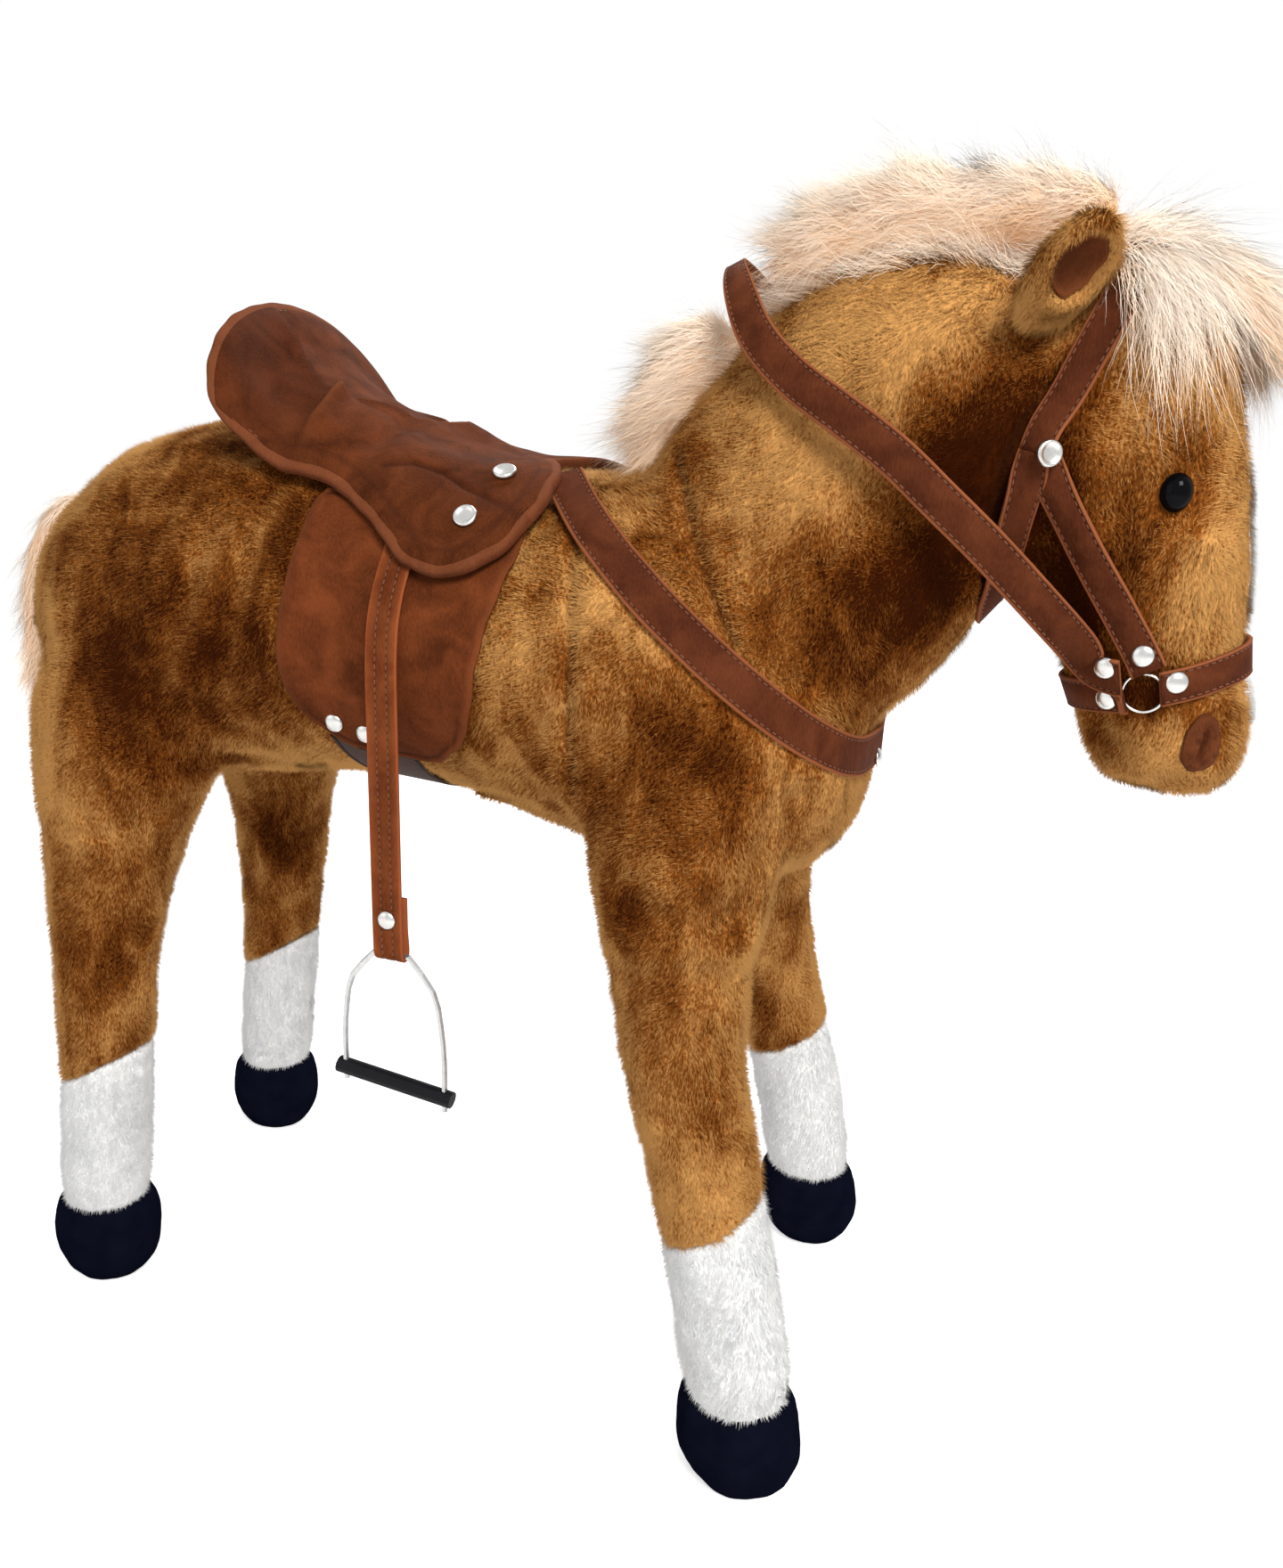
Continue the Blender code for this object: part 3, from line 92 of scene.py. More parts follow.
def make_camera():
    flat = math.cos(CAMERA_PITCH)
    back = Vector((math.sin(CAMERA_TURN) * flat, -math.cos(CAMERA_TURN) * flat, math.sin(CAMERA_PITCH)))
    level = Vector((0, 0, 1)).cross(back).normalized()
    above = back.cross(level)
    right = level * math.cos(CAMERA_ROLL) + above * math.sin(CAMERA_ROLL)
    up = above * math.cos(CAMERA_ROLL) - level * math.sin(CAMERA_ROLL)
    camera = linked("photo_camera", bpy.data.cameras.new("photo_camera"))
    camera.matrix_world = Matrix.Translation(CAMERA_PLACE) @ Matrix((right, up, back)).transposed().to_4x4()
    camera.data.lens = CAMERA_LENS
    camera.data.clip_start = 0.01
    bpy.context.scene.camera = camera
    return camera


print("camera at", [round(value, 3) for value in make_camera().location])

# %% [markdown]
# A material is a small network of nodes. These helpers place a node, feed its inputs and return it, so that
# a whole network reads as a few lines and can be repeated with other values.

# %% Small tools for materials
def fed(tree, node, inputs):
    """The node, with each of these inputs given a value or a link."""
    for name, value in dict(inputs).items():
        if isinstance(value, bpy.types.NodeSocket):
            tree.links.new(value, node.inputs[name])
        else:
            node.inputs[name].default_value = value
    return node


def placed(tree, kind, inputs=(), **settings):
    """Places one shader node, with its settings made and its inputs fed."""
    made = tree.nodes.new("ShaderNode" + kind)
    for name, value in settings.items():
        setattr(made, name, value)
    return fed(tree, made, inputs)


def mixed(tree, factor, first, second, how="MIX"):
    """Two colours mixed, as the output socket."""
    inputs = {0: factor, 6: first, 7: second}
    return placed(tree, "Mix", inputs, data_type="RGBA", blend_type=how).outputs[2]


def worked(tree, how, first, second=0.5, clamped=False):
    """One sum on one or two values, as the output socket."""
    return placed(tree, "Math", {0: first, 1: second}, operation=how, use_clamp=clamped).outputs[0]


def times(tree, first, second):
    return worked(tree, "MULTIPLY", first, second)


def plus(tree, first, second):
    return worked(tree, "ADD", first, second)


def speckled(tree, place, scale, detail=2.0, distortion=0.0):
    inputs = {"Vector": place, "Scale": scale, "Detail": detail, "Distortion": distortion}
    return placed(tree, "TexNoise", inputs).outputs["Fac"]


def stretched_place(tree, amounts):
    """Coordinates fixed to the piece itself, drawn out along one axis, so that a grain has a direction."""
    place = placed(tree, "TexCoord").outputs["Object"]
    return placed(tree, "Mapping", {"Vector": place, "Scale": amounts}).outputs[0]


def read_mark(tree, name):
    """A value that the mesh carries at each point, such as how near it lies to an edge."""
    return placed(tree, "Attribute", attribute_name=name).outputs["Fac"]


# %% [markdown]
# An effect that several finishes share is a node group with named inputs and outputs. Only colours and
# values leave a group here, and the Principled shader stays in each material, where an export can read it.

# %% Tools for node groups and finishes
def group_named(name, inputs, outputs):
    """An empty shader group with its sockets made, and its two end nodes."""
    tree = bpy.data.node_groups.new(name, "ShaderNodeTree")
    for title, (kind, value) in inputs.items():
        socket = tree.interface.new_socket(name=title, in_out="INPUT", socket_type="NodeSocket" + kind)
        socket.default_value = value
    for title, kind in outputs.items():
        tree.interface.new_socket(name=title, in_out="OUTPUT", socket_type="NodeSocket" + kind)
    return tree, tree.nodes.new("NodeGroupInput").outputs, tree.nodes.new("NodeGroupOutput").inputs


def grouped(tree, name, inputs=()):
    made = tree.nodes.new("ShaderNodeGroup")
    made.node_tree = bpy.data.node_groups[name]
    return fed(tree, made, inputs).outputs


def finish_from(name, colour, roughness, metallic=0.0, **shader_values):
    """A new material with its Principled shader set, and the tree to add nodes to."""
    made = bpy.data.materials.new(name)
    made.use_nodes = True
    shader = made.node_tree.nodes["Principled BSDF"]
    shader.inputs["Base Color"].default_value = (*colour, 1.0)
    shader.inputs["Roughness"].default_value = roughness
    shader.inputs["Metallic"].default_value = metallic
    for title, value in shader_values.items():
        shader.inputs[title.replace("_", " ")].default_value = value
    return made, made.node_tree, shader.inputs


def bumped(tree, height, distance, strength=1.0):
    return placed(tree, "Bump", {"Height": height, "Distance": distance, "Strength": strength}).outputs[0]


# %% [markdown]
# The coat is a crushed plush: where the pile is brushed one way it looks gold, and the other way dark brown.
# Cloudy noise at two sizes gives such broken patches, and a fine drawn-out noise gives the pile's strokes.

# %% Crushed pile colour, as a node group
def make_crushed_pile():
    sockets = {
        "Deep": ("Color", (0.05, 0.014, 0.003, 1)),
        "Middle": ("Color", (0.25, 0.09, 0.02, 1)),
        "Bright": ("Color", (0.6, 0.3, 0.1, 1)),
        "Patch Scale": ("Float", 11.0),
        "Stroke Scale": ("Float", 760.0),
        "Shift": ("Float", 0.0),
    }
    tree, given, found = group_named("crushed_pile", sockets, {"Colour": "Color", "Height": "Float"})
    place = placed(tree, "TexCoord").outputs["Object"]
    patches = speckled(tree, place, given["Patch Scale"], 4.0, 0.5)
    streaked = stretched_place(tree, (1.0, 1.0, 0.45))
    clumps = speckled(tree, streaked, times(tree, given["Patch Scale"], 5.0), 4.0, 0.8)
    strokes = speckled(tree, stretched_place(tree, (1.0, 1.0, 0.5)), given["Stroke Scale"], 2.0)
    broad = plus(tree, times(tree, patches, 0.62), times(tree, clumps, 0.38))
    tone = plus(tree, broad, times(tree, worked(tree, "SUBTRACT", strokes, 0.5), 0.40))
    tone = plus(tree, tone, given["Shift"])
    low = placed(tree, "MapRange", {0: tone, 1: 0.35, 2: 0.50}).outputs[0]
    high = placed(tree, "MapRange", {0: tone, 1: 0.50, 2: 0.66}).outputs[0]
    shade = mixed(tree, low, given["Deep"], given["Middle"])
    tree.links.new(mixed(tree, high, shade, given["Bright"]), found["Colour"])
    tree.links.new(plus(tree, strokes, clumps), found["Height"])
    return tree


print("group:", make_crushed_pile().name)

# %% [markdown]
# The ground of the plush and the strands that grow from it take their colour from the same group, so their
# patches match. The mesh marks its sewn seams, and the ground darkens there, as a seam swallows the light.

# %% Plush finishes
PLUSH_DEEP = (0.042, 0.008, 0.001, 1)
PLUSH_MIDDLE = (0.225, 0.066, 0.009, 1)
PLUSH_BRIGHT = (0.620, 0.310, 0.095, 1)
RIM_SHARE = 0.24
PLUSH_MEAN = (0.28, 0.11, 0.03)
WHITE_MEAN = (0.78, 0.78, 0.79)


def plush_tones(tree, shift):
    tones = {"Deep": PLUSH_DEEP, "Middle": PLUSH_MIDDLE, "Bright": PLUSH_BRIGHT, "Shift": shift}
    return grouped(tree, "crushed_pile", tones)


def white_tones(tree, shift):
    tones = {"Deep": (0.72, 0.72, 0.74, 1), "Middle": (0.87, 0.87, 0.87, 1), "Bright": (0.95, 0.95, 0.94, 1)}
    return grouped(tree, "crushed_pile", {**tones, "Patch Scale": 30.0, "Shift": shift})


def rim_glow(tree):
    """Pile seen edge on looks paler, because the light comes through its tips."""
    facing = placed(tree, "LayerWeight", {"Blend": 0.35}).outputs["Facing"]
    return times(tree, times(tree, facing, facing), RIM_SHARE)


def both_sides(tree):
    """The strand's own direction, kept when it is seen from behind: thin pile lets the light through."""
    seen = placed(tree, "NewGeometry").outputs
    turn = worked(tree, "SUBTRACT", 1.0, times(tree, seen["Backfacing"], 2.0))
    return placed(tree, "VectorMath", {0: seen["Normal"], "Scale": turn}, operation="SCALE").outputs[0]


def make_ground(name, tones, mean):
    made, tree, shader = finish_from(name, mean, 0.95, Specular_IOR_Level=0.02)
    pile = tones(tree, plus(tree, read_mark(tree, "shade"), worked(tree, "SUBTRACT", rim_glow(tree), 0.03)))
    seam = times(tree, read_mark(tree, "seam"), 0.8)
    tree.links.new(mixed(tree, seam, pile["Colour"], (0.02, 0.006, 0.002, 1)), shader["Base Color"])
    tree.links.new(bumped(tree, pile["Height"], 0.0016), shader["Normal"])
    return made


def make_strand_finish(name, tones, mean):
    made, tree, shader = finish_from(name, mean, 0.75, Specular_IOR_Level=0.04)
    tint = times(tree, worked(tree, "SUBTRACT", read_mark(tree, "tint"), 0.5), 0.12)
    # Painted light and shade: each strand is darker at its root, among the pile, and paler towards its lit tip.
    lift = times(tree, worked(tree, "SUBTRACT", read_mark(tree, "along"), 0.35), 0.14)
    own = plus(tree, plus(tree, tint, lift), read_mark(tree, "shade"))
    pile = tones(tree, plus(tree, own, rim_glow(tree)))
    tree.links.new(pile["Colour"], shader["Base Color"])
    tree.links.new(both_sides(tree), shader["Normal"])
    return made


BROWN_GROUND = make_ground("brown_plush_ground", plush_tones, PLUSH_MEAN)
BROWN_STRANDS = make_strand_finish("brown_plush_strands", plush_tones, PLUSH_MEAN)
WHITE_GROUND = make_ground("white_plush_ground", white_tones, WHITE_MEAN)
WHITE_STRANDS = make_strand_finish("white_plush_strands", white_tones, WHITE_MEAN)
print("plush finishes:", BROWN_GROUND.name, WHITE_GROUND.name)

# %% [markdown]
# Saddle and straps are a suede-like leathercloth: a short brushed nap, darker with painted shade in the hollows,
# paler where edges are rubbed and with a painted highlight on the seat's crest. Noise drawn out one way gives the
# nap; marks on the mesh say where edge and groove are.

# %% Suede finish, as a node group and its uses
def make_nap():
    sockets = {
        "Dark": ("Color", (0.07, 0.015, 0.005, 1)),
        "Light": ("Color", (0.22, 0.07, 0.025, 1)),
        "Scale": ("Float", 60.0),
    }
    tree, given, found = group_named("brushed_nap", sockets, {"Colour": "Color", "Height": "Float"})
    place = placed(tree, "TexCoord").outputs["Object"]
    clouds = speckled(tree, place, given["Scale"], 4.0, 0.8)
    strokes = speckled(tree, stretched_place(tree, (1.0, 1.0, 0.4)), 900.0, 3.0)
    tone = plus(tree, times(tree, clouds, 0.7), times(tree, strokes, 0.3))
    share = placed(tree, "MapRange", {0: tone, 1: 0.34, 2: 0.66}).outputs[0]
    tree.links.new(mixed(tree, share, given["Dark"], given["Light"]), found["Colour"])
    tree.links.new(strokes, found["Height"])
    return tree


def make_suede(name, dark, light, wear_and_highlight):
    """Brushed suede, paler where the mesh is marked as edge: rubbed wear, and on the seat a painted highlight.
    It is darker with painted shade where the mesh is marked as groove.
    """
    mean = [(low + high) / 2 for low, high in zip(dark, light)]
    made, tree, shader = finish_from(name, mean, 0.80, Specular_IOR_Level=0.06)
    nap = grouped(tree, "brushed_nap", {"Dark": (*dark, 1), "Light": (*light, 1), "Scale": 45.0})
    edge = times(tree, read_mark(tree, "edge"), 0.75)
    with_wear_and_highlight = mixed(tree, edge, nap["Colour"], (*wear_and_highlight, 1))
    # Painted shade: darker in grooves, creases and hollows.
    groove = times(tree, read_mark(tree, "groove"), 0.7)
    tree.links.new(mixed(tree, groove, with_wear_and_highlight, (0.03, 0.007, 0.003, 1)), shader["Base Color"])
    tree.links.new(bumped(tree, nap["Height"], 0.0005), shader["Normal"])
    return made


print("group:", make_nap().name)
# On the seat, the paler edge colour lies only on the crest, as its painted highlight.
SADDLE_SUEDE = make_suede("saddle_suede", (0.044, 0.010, 0.002), (0.124, 0.030, 0.008), (0.18, 0.052, 0.017))
STRAP_SUEDE = make_suede("strap_suede", (0.066, 0.015, 0.005), (0.162, 0.043, 0.015), (0.32, 0.105, 0.042))
FLAP_SUEDE = make_suede("flap_suede", (0.062, 0.014, 0.003), (0.165, 0.040, 0.011), (0.22, 0.062, 0.020))
LEATHER_SUEDE = make_suede("leather_suede", (0.13, 0.028, 0.006), (0.26, 0.068, 0.018), (0.32, 0.080, 0.028))
BINDING_SUEDE = make_suede("binding_suede", (0.075, 0.019, 0.007), (0.165, 0.047, 0.018), (0.20, 0.062, 0.024))
LINING_SUEDE = make_suede("lining_suede", (0.060, 0.015, 0.005), (0.160, 0.045, 0.014), (0.20, 0.06, 0.02))

# %% [markdown]
# The hooves are dark smooth cloth, the girth a woven webbing, the treads ribbed rubber. Metal caps get fine
# rub marks in their roughness, since a perfectly even metal looks like a drawing of metal.

# %% Cloth, webbing, rubber, plastic and metal finishes
def make_plain(name, dark, light, roughness, scale, bump, metallic=0.0, **shader_values):
    """A finish whose colour and roughness both wander a little over the surface."""
    mean = [(low + high) / 2 for low, high in zip(dark, light)]
    made, tree, shader = finish_from(name, mean, roughness, metallic, **shader_values)
    place = placed(tree, "TexCoord").outputs["Object"]
    cloud = speckled(tree, place, scale, 4.0)
    grain = speckled(tree, place, scale * 9, 2.0)
    tree.links.new(mixed(tree, cloud, (*dark, 1), (*light, 1)), shader["Base Color"])
    spread = placed(tree, "MapRange", {0: grain, 1: 0.3, 2: 0.7, 3: roughness * 0.8, 4: roughness * 1.2})
    tree.links.new(spread.outputs[0], shader["Roughness"])
    tree.links.new(bumped(tree, grain, bump), shader["Normal"])
    return made


def make_woven(name, dark, light, roughness, thread, bump):
    """Two waves crossed, as warp and weft pass over each other."""
    mean = [(low + high) / 2 for low, high in zip(dark, light)]
    made, tree, shader = finish_from(name, mean, roughness, Specular_IOR_Level=0.3)
    place = placed(tree, "TexCoord").outputs["Object"]
    waves = []
    for direction in ("X", "Z"):
        inputs = {"Vector": place, "Scale": thread, "Distortion": 0.6, "Detail": 1.0}
        waves.append(placed(tree, "TexWave", inputs, bands_direction=direction).outputs["Fac"])
    weave = times(tree, waves[0], waves[1])
    tree.links.new(mixed(tree, weave, (*dark, 1), (*light, 1)), shader["Base Color"])
    tree.links.new(bumped(tree, weave, bump), shader["Normal"])
    return made


HOOF_CLOTH = make_plain(
    "hoof_cloth_dark", (0.0015, 0.002, 0.006), (0.006, 0.007, 0.016), 0.9, 60.0, 0.0004, Specular_IOR_Level=0.0
)
DARK_WEBBING = make_woven("girth_webbing", (0.02, 0.007, 0.004), (0.11, 0.045, 0.026), 0.8, 260.0, 0.0005)
TREAD_RUBBER = make_plain(
    "tread_black_rubber", (0.002, 0.002, 0.003), (0.009, 0.009, 0.012), 0.6, 90.0, 0.0003, Specular_IOR_Level=0.12
)
EYE_GLOSS = make_plain(
    "eye_black_gloss", (0.001, 0.001, 0.001), (0.003, 0.003, 0.005), 0.05, 40.0, 0.00002, Specular_IOR_Level=0.05
)
NICKEL = make_plain("cap_nickel", (0.50, 0.49, 0.47), (0.66, 0.65, 0.63), 0.26, 300.0, 0.00003, 1.0)
STEEL = make_plain("wire_steel", (0.42, 0.42, 0.42), (0.6, 0.6, 0.6), 0.3, 200.0, 0.00004, 1.0)
THREAD = make_plain("sewing_thread", (0.09, 0.026, 0.010), (0.20, 0.065, 0.028), 0.7, 400.0, 0.0002)
print("finishes made:", len(bpy.data.materials))

# %% [markdown]
# Meshes here are arrays: a list of points and a list of faces. Filling them in one go keeps even a hundred
# thousand strands quick. A piece is named, given its finish, and set to ride on a body of the frame.

# %% Tools for meshes and pieces
def mesh_from(name, points, faces):
    """A mesh from an array of points and an array of faces that all have as many corners."""
    faces = np.asarray(faces, np.int32)
    mesh = bpy.data.meshes.new(name)
    mesh.vertices.add(len(points))
    mesh.vertices.foreach_set("co", np.asarray(points, np.float32).ravel())
    mesh.loops.add(faces.size)
    mesh.loops.foreach_set("vertex_index", faces.ravel())
    mesh.polygons.add(len(faces))
    starts = np.arange(0, faces.size, faces.shape[1], dtype=np.int32)
    mesh.polygons.foreach_set("loop_start", starts)
    mesh.update(calc_edges=True)
    return mesh


def marked(mesh, name, values):
    """A value at each point of the mesh, for a material to read."""
    mark = mesh.attributes.new(name, "FLOAT", "POINT")
    mark.data.foreach_set("value", np.asarray(values, np.float32).ravel())


def piece_from(name, mesh, finish, body, replaced=()):
    """An object from a mesh, in its finish, riding on a body and standing for the nodes it replaces."""
    made = linked(name, mesh)
    mesh.materials.append(finish)
    mesh.shade_smooth()
    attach(made, body)
    if replaced:
        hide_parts(*replaced)
    return made


def grid_faces(rows, columns, round_across=False, round_along=False):
    """Quads between the points of a grid, closed round its columns or its rows if asked."""
    row = np.arange(rows if round_along else rows - 1)
    column = np.arange(columns if round_across else columns - 1)
    row, column = (part.ravel() for part in np.meshgrid(row, column, indexing="ij"))
    after_row, after_column = (row + 1) % rows, (column + 1) % columns
    corners = ((row, column), (row, after_column), (after_row, after_column), (after_row, column))
    return np.stack([r * columns + c for r, c in corners], axis=1)


def tree_of(mesh):
    """A search tree for casting rays at a mesh and for finding its nearest point."""
    shape = bmesh.new()
    shape.from_mesh(mesh)
    tree = BVHTree.FromBMesh(shape)
    shape.free()
    return tree


def arrays_of(mesh):
    """Points, point normals and triangles of a mesh."""
    points = np.empty(len(mesh.vertices) * 3)
    normals = np.empty(len(mesh.vertices) * 3)
    mesh.vertices.foreach_get("co", points)
    mesh.vertices.foreach_get("normal", normals)
    mesh.calc_loop_triangles()
    corners = np.empty(len(mesh.loop_triangles) * 3, np.int32)
    mesh.loop_triangles.foreach_get("vertices", corners)
    return points.reshape(-1, 3), normals.reshape(-1, 3), corners.reshape(-1, 3)


def unit(vectors):
    return vectors / np.maximum(np.linalg.norm(vectors, axis=-1, keepdims=True), 1e-9)


def side_hit(tree, forward, up, side):
    """Where a ray from this side of the horse meets the tree, and the surface's direction there."""
    return tree.ray_cast(Vector((forward, side, up)), Vector((0, -side, 0)))[:2]


def bell(distance, reach):
    """1 at no distance, falling smoothly to about a third at the reach."""
    return np.exp(-((distance / reach) ** 2))


def turned_out(mesh, merge=None):
    """Turns the mesh's faces outwards, after joining points that lie nearer than the merge distance."""
    shape = bmesh.new()
    shape.from_mesh(mesh)
    if merge:
        bmesh.ops.remove_doubles(shape, verts=shape.verts, dist=merge)
    bmesh.ops.recalc_face_normals(shape, faces=shape.faces)
    shape.to_mesh(mesh)
    shape.free()


SIDES = (("right", -1), ("left", 1))


# %% [markdown]
# Stuffed fabric has no corners: each solid of the frame is copied, wrapped in an even skin by the voxel
# remesher and relaxed. Torso, neck, head and legs are copied together, which gives one continuous coat.

# %% Skins: remeshed and relaxed copies
def remeshed(name, nodes, voxel):
    """One even skin round copies of these nodes, with anything sealed inside it left out."""
    shape = bmesh.new()
    for node in nodes:
        shape.from_mesh(frame["nodes"][node].data)
    mesh = bpy.data.meshes.new(name)
    shape.to_mesh(mesh)
    shape.free()
    wrapped = linked(name, mesh)
    skin = wrapped.modifiers.new("skin", "REMESH")
    skin.mode = "VOXEL"
    skin.voxel_size = voxel
    graph = bpy.context.evaluated_depsgraph_get()
    made = bpy.data.meshes.new_from_object(wrapped.evaluated_get(graph))
    bpy.data.objects.remove(wrapped)
    keep_largest_shell(made)
    return made


def keep_largest_shell(mesh):
    shape = bmesh.new()
    shape.from_mesh(mesh)
    unseen = set(shape.verts)
    shells = []
    while unseen:
        edge_of_search = [unseen.pop()]
        shell = list(edge_of_search)
        while edge_of_search:
            vertex = edge_of_search.pop()
            for edge in vertex.link_edges:
                other = edge.other_vert(vertex)
                if other in unseen:
                    unseen.remove(other)
                    edge_of_search.append(other)
                    shell.append(other)
        shells.append(shell)
    for shell in sorted(shells, key=len)[:-1]:
        bmesh.ops.delete(shape, geom=shell, context="VERTS")
    shape.to_mesh(mesh)
    shape.free()


def edges_of(mesh):
    found = np.empty(len(mesh.edges) * 2, np.int32)
    mesh.edges.foreach_get("vertices", found)
    return found.reshape(-1, 2)


def neighbour_means(values, edges):
    """The mean of each point's neighbours, for places or for marks."""
    total = np.zeros_like(values)
    np.add.at(total, edges[:, 0], values[edges[:, 1]])
    np.add.at(total, edges[:, 1], values[edges[:, 0]])
    count = np.bincount(edges.ravel(), minlength=len(values))
    return total / (count[:, None] if values.ndim > 1 else count)


def relaxed(points, edges, rounds, strength=0.5):
    """Smoothing that doesn't shrink: each round pulls in, then pushes out a little more."""
    for _ in range(rounds):
        points = points + (neighbour_means(points, edges) - points) * strength
        points = points - (neighbour_means(points, edges) - points) * strength * 1.03
    return points


def set_points(mesh, points):
    mesh.vertices.foreach_set("co", np.asarray(points, np.float32).ravel())
    mesh.update()


# %% [markdown]
# Where a leg meets the barrel, two rounded solids cross in a sharp valley. On the toy the fabric bridges it.
# A point lies in a valley if its neighbours stand out past it; only those places are smoothed hard, and the
# rest keeps its shape. A Smooth modifier with a painted mask would do the same by hand.

# %% The coat's skin
COAT_NODES = ["torso", "neck", "head"] + [
    f"upper_leg_{end}_{side}" for end in ("front", "rear") for side in ("right", "left")
]
COAT_VOXEL = 0.0040
VALLEY_DEPTH = 0.00012
VALLEY_ROUNDS = 60


def bridge_valleys(points, normals, edges):
    hollow = ((neighbour_means(points, edges) - points) * normals).sum(axis=1)
    share = np.clip(hollow / VALLEY_DEPTH, 0, 1)
    for _ in range(5):
        share = np.maximum(share, neighbour_means(share, edges))
    for _ in range(VALLEY_ROUNDS):
        points = points + (neighbour_means(points, edges) - points) * share[:, None] * 0.6
    return points


def make_coat_skin():
    mesh = remeshed("plush_coat", COAT_NODES, COAT_VOXEL)
    edges = edges_of(mesh)
    set_points(mesh, relaxed(arrays_of(mesh)[0], edges, 6))
    points, normals, _ = arrays_of(mesh)
    set_points(mesh, bridge_valleys(points, normals, edges))
    return mesh


COAT = make_coat_skin()
print("coat points:", len(COAT.vertices))

# %% [markdown]
# Seams and folds are pressed into the skin along lines given on the horse's side, in metres forward
# and up. A seam is narrow and dark, a fold is wide and soft, and the fabric swells a little on both sides.

# %% Seams and folds of the coat
SEAM_LINES = (
    ((0.049, 0.531), (0.057, 0.506), (0.062, 0.478), (0.063, 0.452), (0.062, 0.420), (0.060, 0.395)),
    ((0.092, 0.566), (0.109, 0.533), (0.123, 0.509), (0.140, 0.480)),
    ((0.273, 0.612), (0.260, 0.590), (0.254, 0.570), (0.252, 0.545), (0.251, 0.518), (0.262, 0.495)),
)
FOLD_LINES = (
    ((-0.127, 0.535), (-0.128, 0.498), (-0.139, 0.460), (-0.159, 0.420)),
    ((-0.150, 0.520), (-0.165, 0.470), (-0.195, 0.430)),
    ((0.097, 0.307), (0.131, 0.318), (0.158, 0.307)),
    ((0.100, 0.352), (0.125, 0.340), (0.165, 0.345)),
    ((0.170, 0.400), (0.158, 0.365), (0.150, 0.350)),
    ((-0.235, 0.410), (-0.190, 0.384), (-0.150, 0.372)),
    ((0.300, 0.480), (0.312, 0.452), (0.318, 0.430)),
    ((0.330, 0.404), (0.340, 0.413), (0.350, 0.4195)),
)
# Patches of painted light and shade, in part also where the pile lies the other way: forward, up, reach, paler or
# darker
PAINTED_LIGHT_AND_NAP_PATCHES = (
    (-0.116, 0.520, 0.030, -0.13), (-0.155, 0.554, 0.030, -0.08), (-0.141, 0.441, 0.040, -0.06),
    (-0.231, 0.493, 0.045, -0.09), (-0.175, 0.473, 0.040, -0.03), (0.115, 0.436, 0.040, -0.07),
    (0.060, 0.380, 0.030, -0.12), (0.089, 0.336, 0.030, -0.08), (0.250, 0.592, 0.034, -0.19),
    (0.244, 0.550, 0.030, -0.15), (0.226, 0.500, 0.024, -0.10), (0.105, 0.535, 0.020, -0.12),
    (0.290, 0.512, 0.036, -0.14), (0.262, 0.560, 0.024, -0.10), (-0.229, 0.257, 0.030, -0.06),
    (0.031, 0.474, 0.034, 0.09), (0.027, 0.525, 0.022, 0.06), (0.186, 0.628, 0.040, 0.15),
    (0.136, 0.603, 0.034, 0.12), (0.172, 0.568, 0.034, 0.07), (0.222, 0.640, 0.028, 0.10),
    (0.157, 0.437, 0.030, 0.05), (0.153, 0.327, 0.040, 0.12), (0.147, 0.230, 0.050, 0.10),
    (0.328, 0.621, 0.032, 0.16), (0.355, 0.521, 0.040, 0.13), (0.350, 0.454, 0.034, 0.07),
    (0.331, 0.467, 0.012, -0.26), (0.300, 0.500, 0.014, -0.10), (-0.205, 0.560, 0.040, -0.07),
    (-0.238, 0.323, 0.040, 0.05), (-0.258, 0.238, 0.050, 0.06), (-0.246, 0.560, 0.040, -0.03),
    (0.340, 0.418, 0.032, 0.14), (0.362, 0.440, 0.020, 0.06),
)
SEAM_WIDTH = 0.0028
SEAM_DEPTH = 0.0024
FOLD_WIDTH = 0.009
FOLD_DEPTH = 0.0034


def distance_to_line(flat, line):
    """How far each place (forward, up) lies from a chain of straight stretches."""
    nearest = np.full(len(flat), np.inf)
    for start, end in zip(np.array(line[:-1]), np.array(line[1:])):
        run = end - start
        share = np.clip(((flat - start) @ run) / (run @ run), 0, 1)
        nearest = np.minimum(nearest, np.linalg.norm(flat - start - share[:, None] * run, axis=1))
    return nearest


def press_lines(points, normals):
    """Seams and folds pressed in on both sides of the horse. It returns the points and the seam mark."""
    flat = points[:, [0, 2]]
    seam = np.zeros(len(points))
    push = np.zeros(len(points))
    facing = np.clip(np.abs(normals[:, 1]) * 2, 0, 1)
    for line in SEAM_LINES:
        distance = distance_to_line(flat, line)
        near = bell(distance, SEAM_WIDTH) * facing
        seam = np.maximum(seam, near)
        swell = bell(distance - 3 * SEAM_WIDTH, 2 * SEAM_WIDTH) * facing
        push += swell * SEAM_DEPTH * 0.4 - near * SEAM_DEPTH
    for line in FOLD_LINES:
        distance = distance_to_line(flat, line)
        swell = bell(distance - 2 * FOLD_WIDTH, FOLD_WIDTH) * facing
        push += swell * FOLD_DEPTH * 0.35 - bell(distance, FOLD_WIDTH) * FOLD_DEPTH * facing
    return points + normals * push[:, None], seam


def dimpled(points, normals, size, depth, seed):
    """Soft dents and swells, as stuffing leaves them."""
    shift = Vector((seed, seed, seed))
    dents = [noise.noise(Vector(point) / size + shift) for point in points]
    return points + normals * (np.array(dents) * depth)[:, None]


# Where the back dips under the saddle's front: place, reach and depth
BACK_DIP = (0.005, 0.075, 0.008)


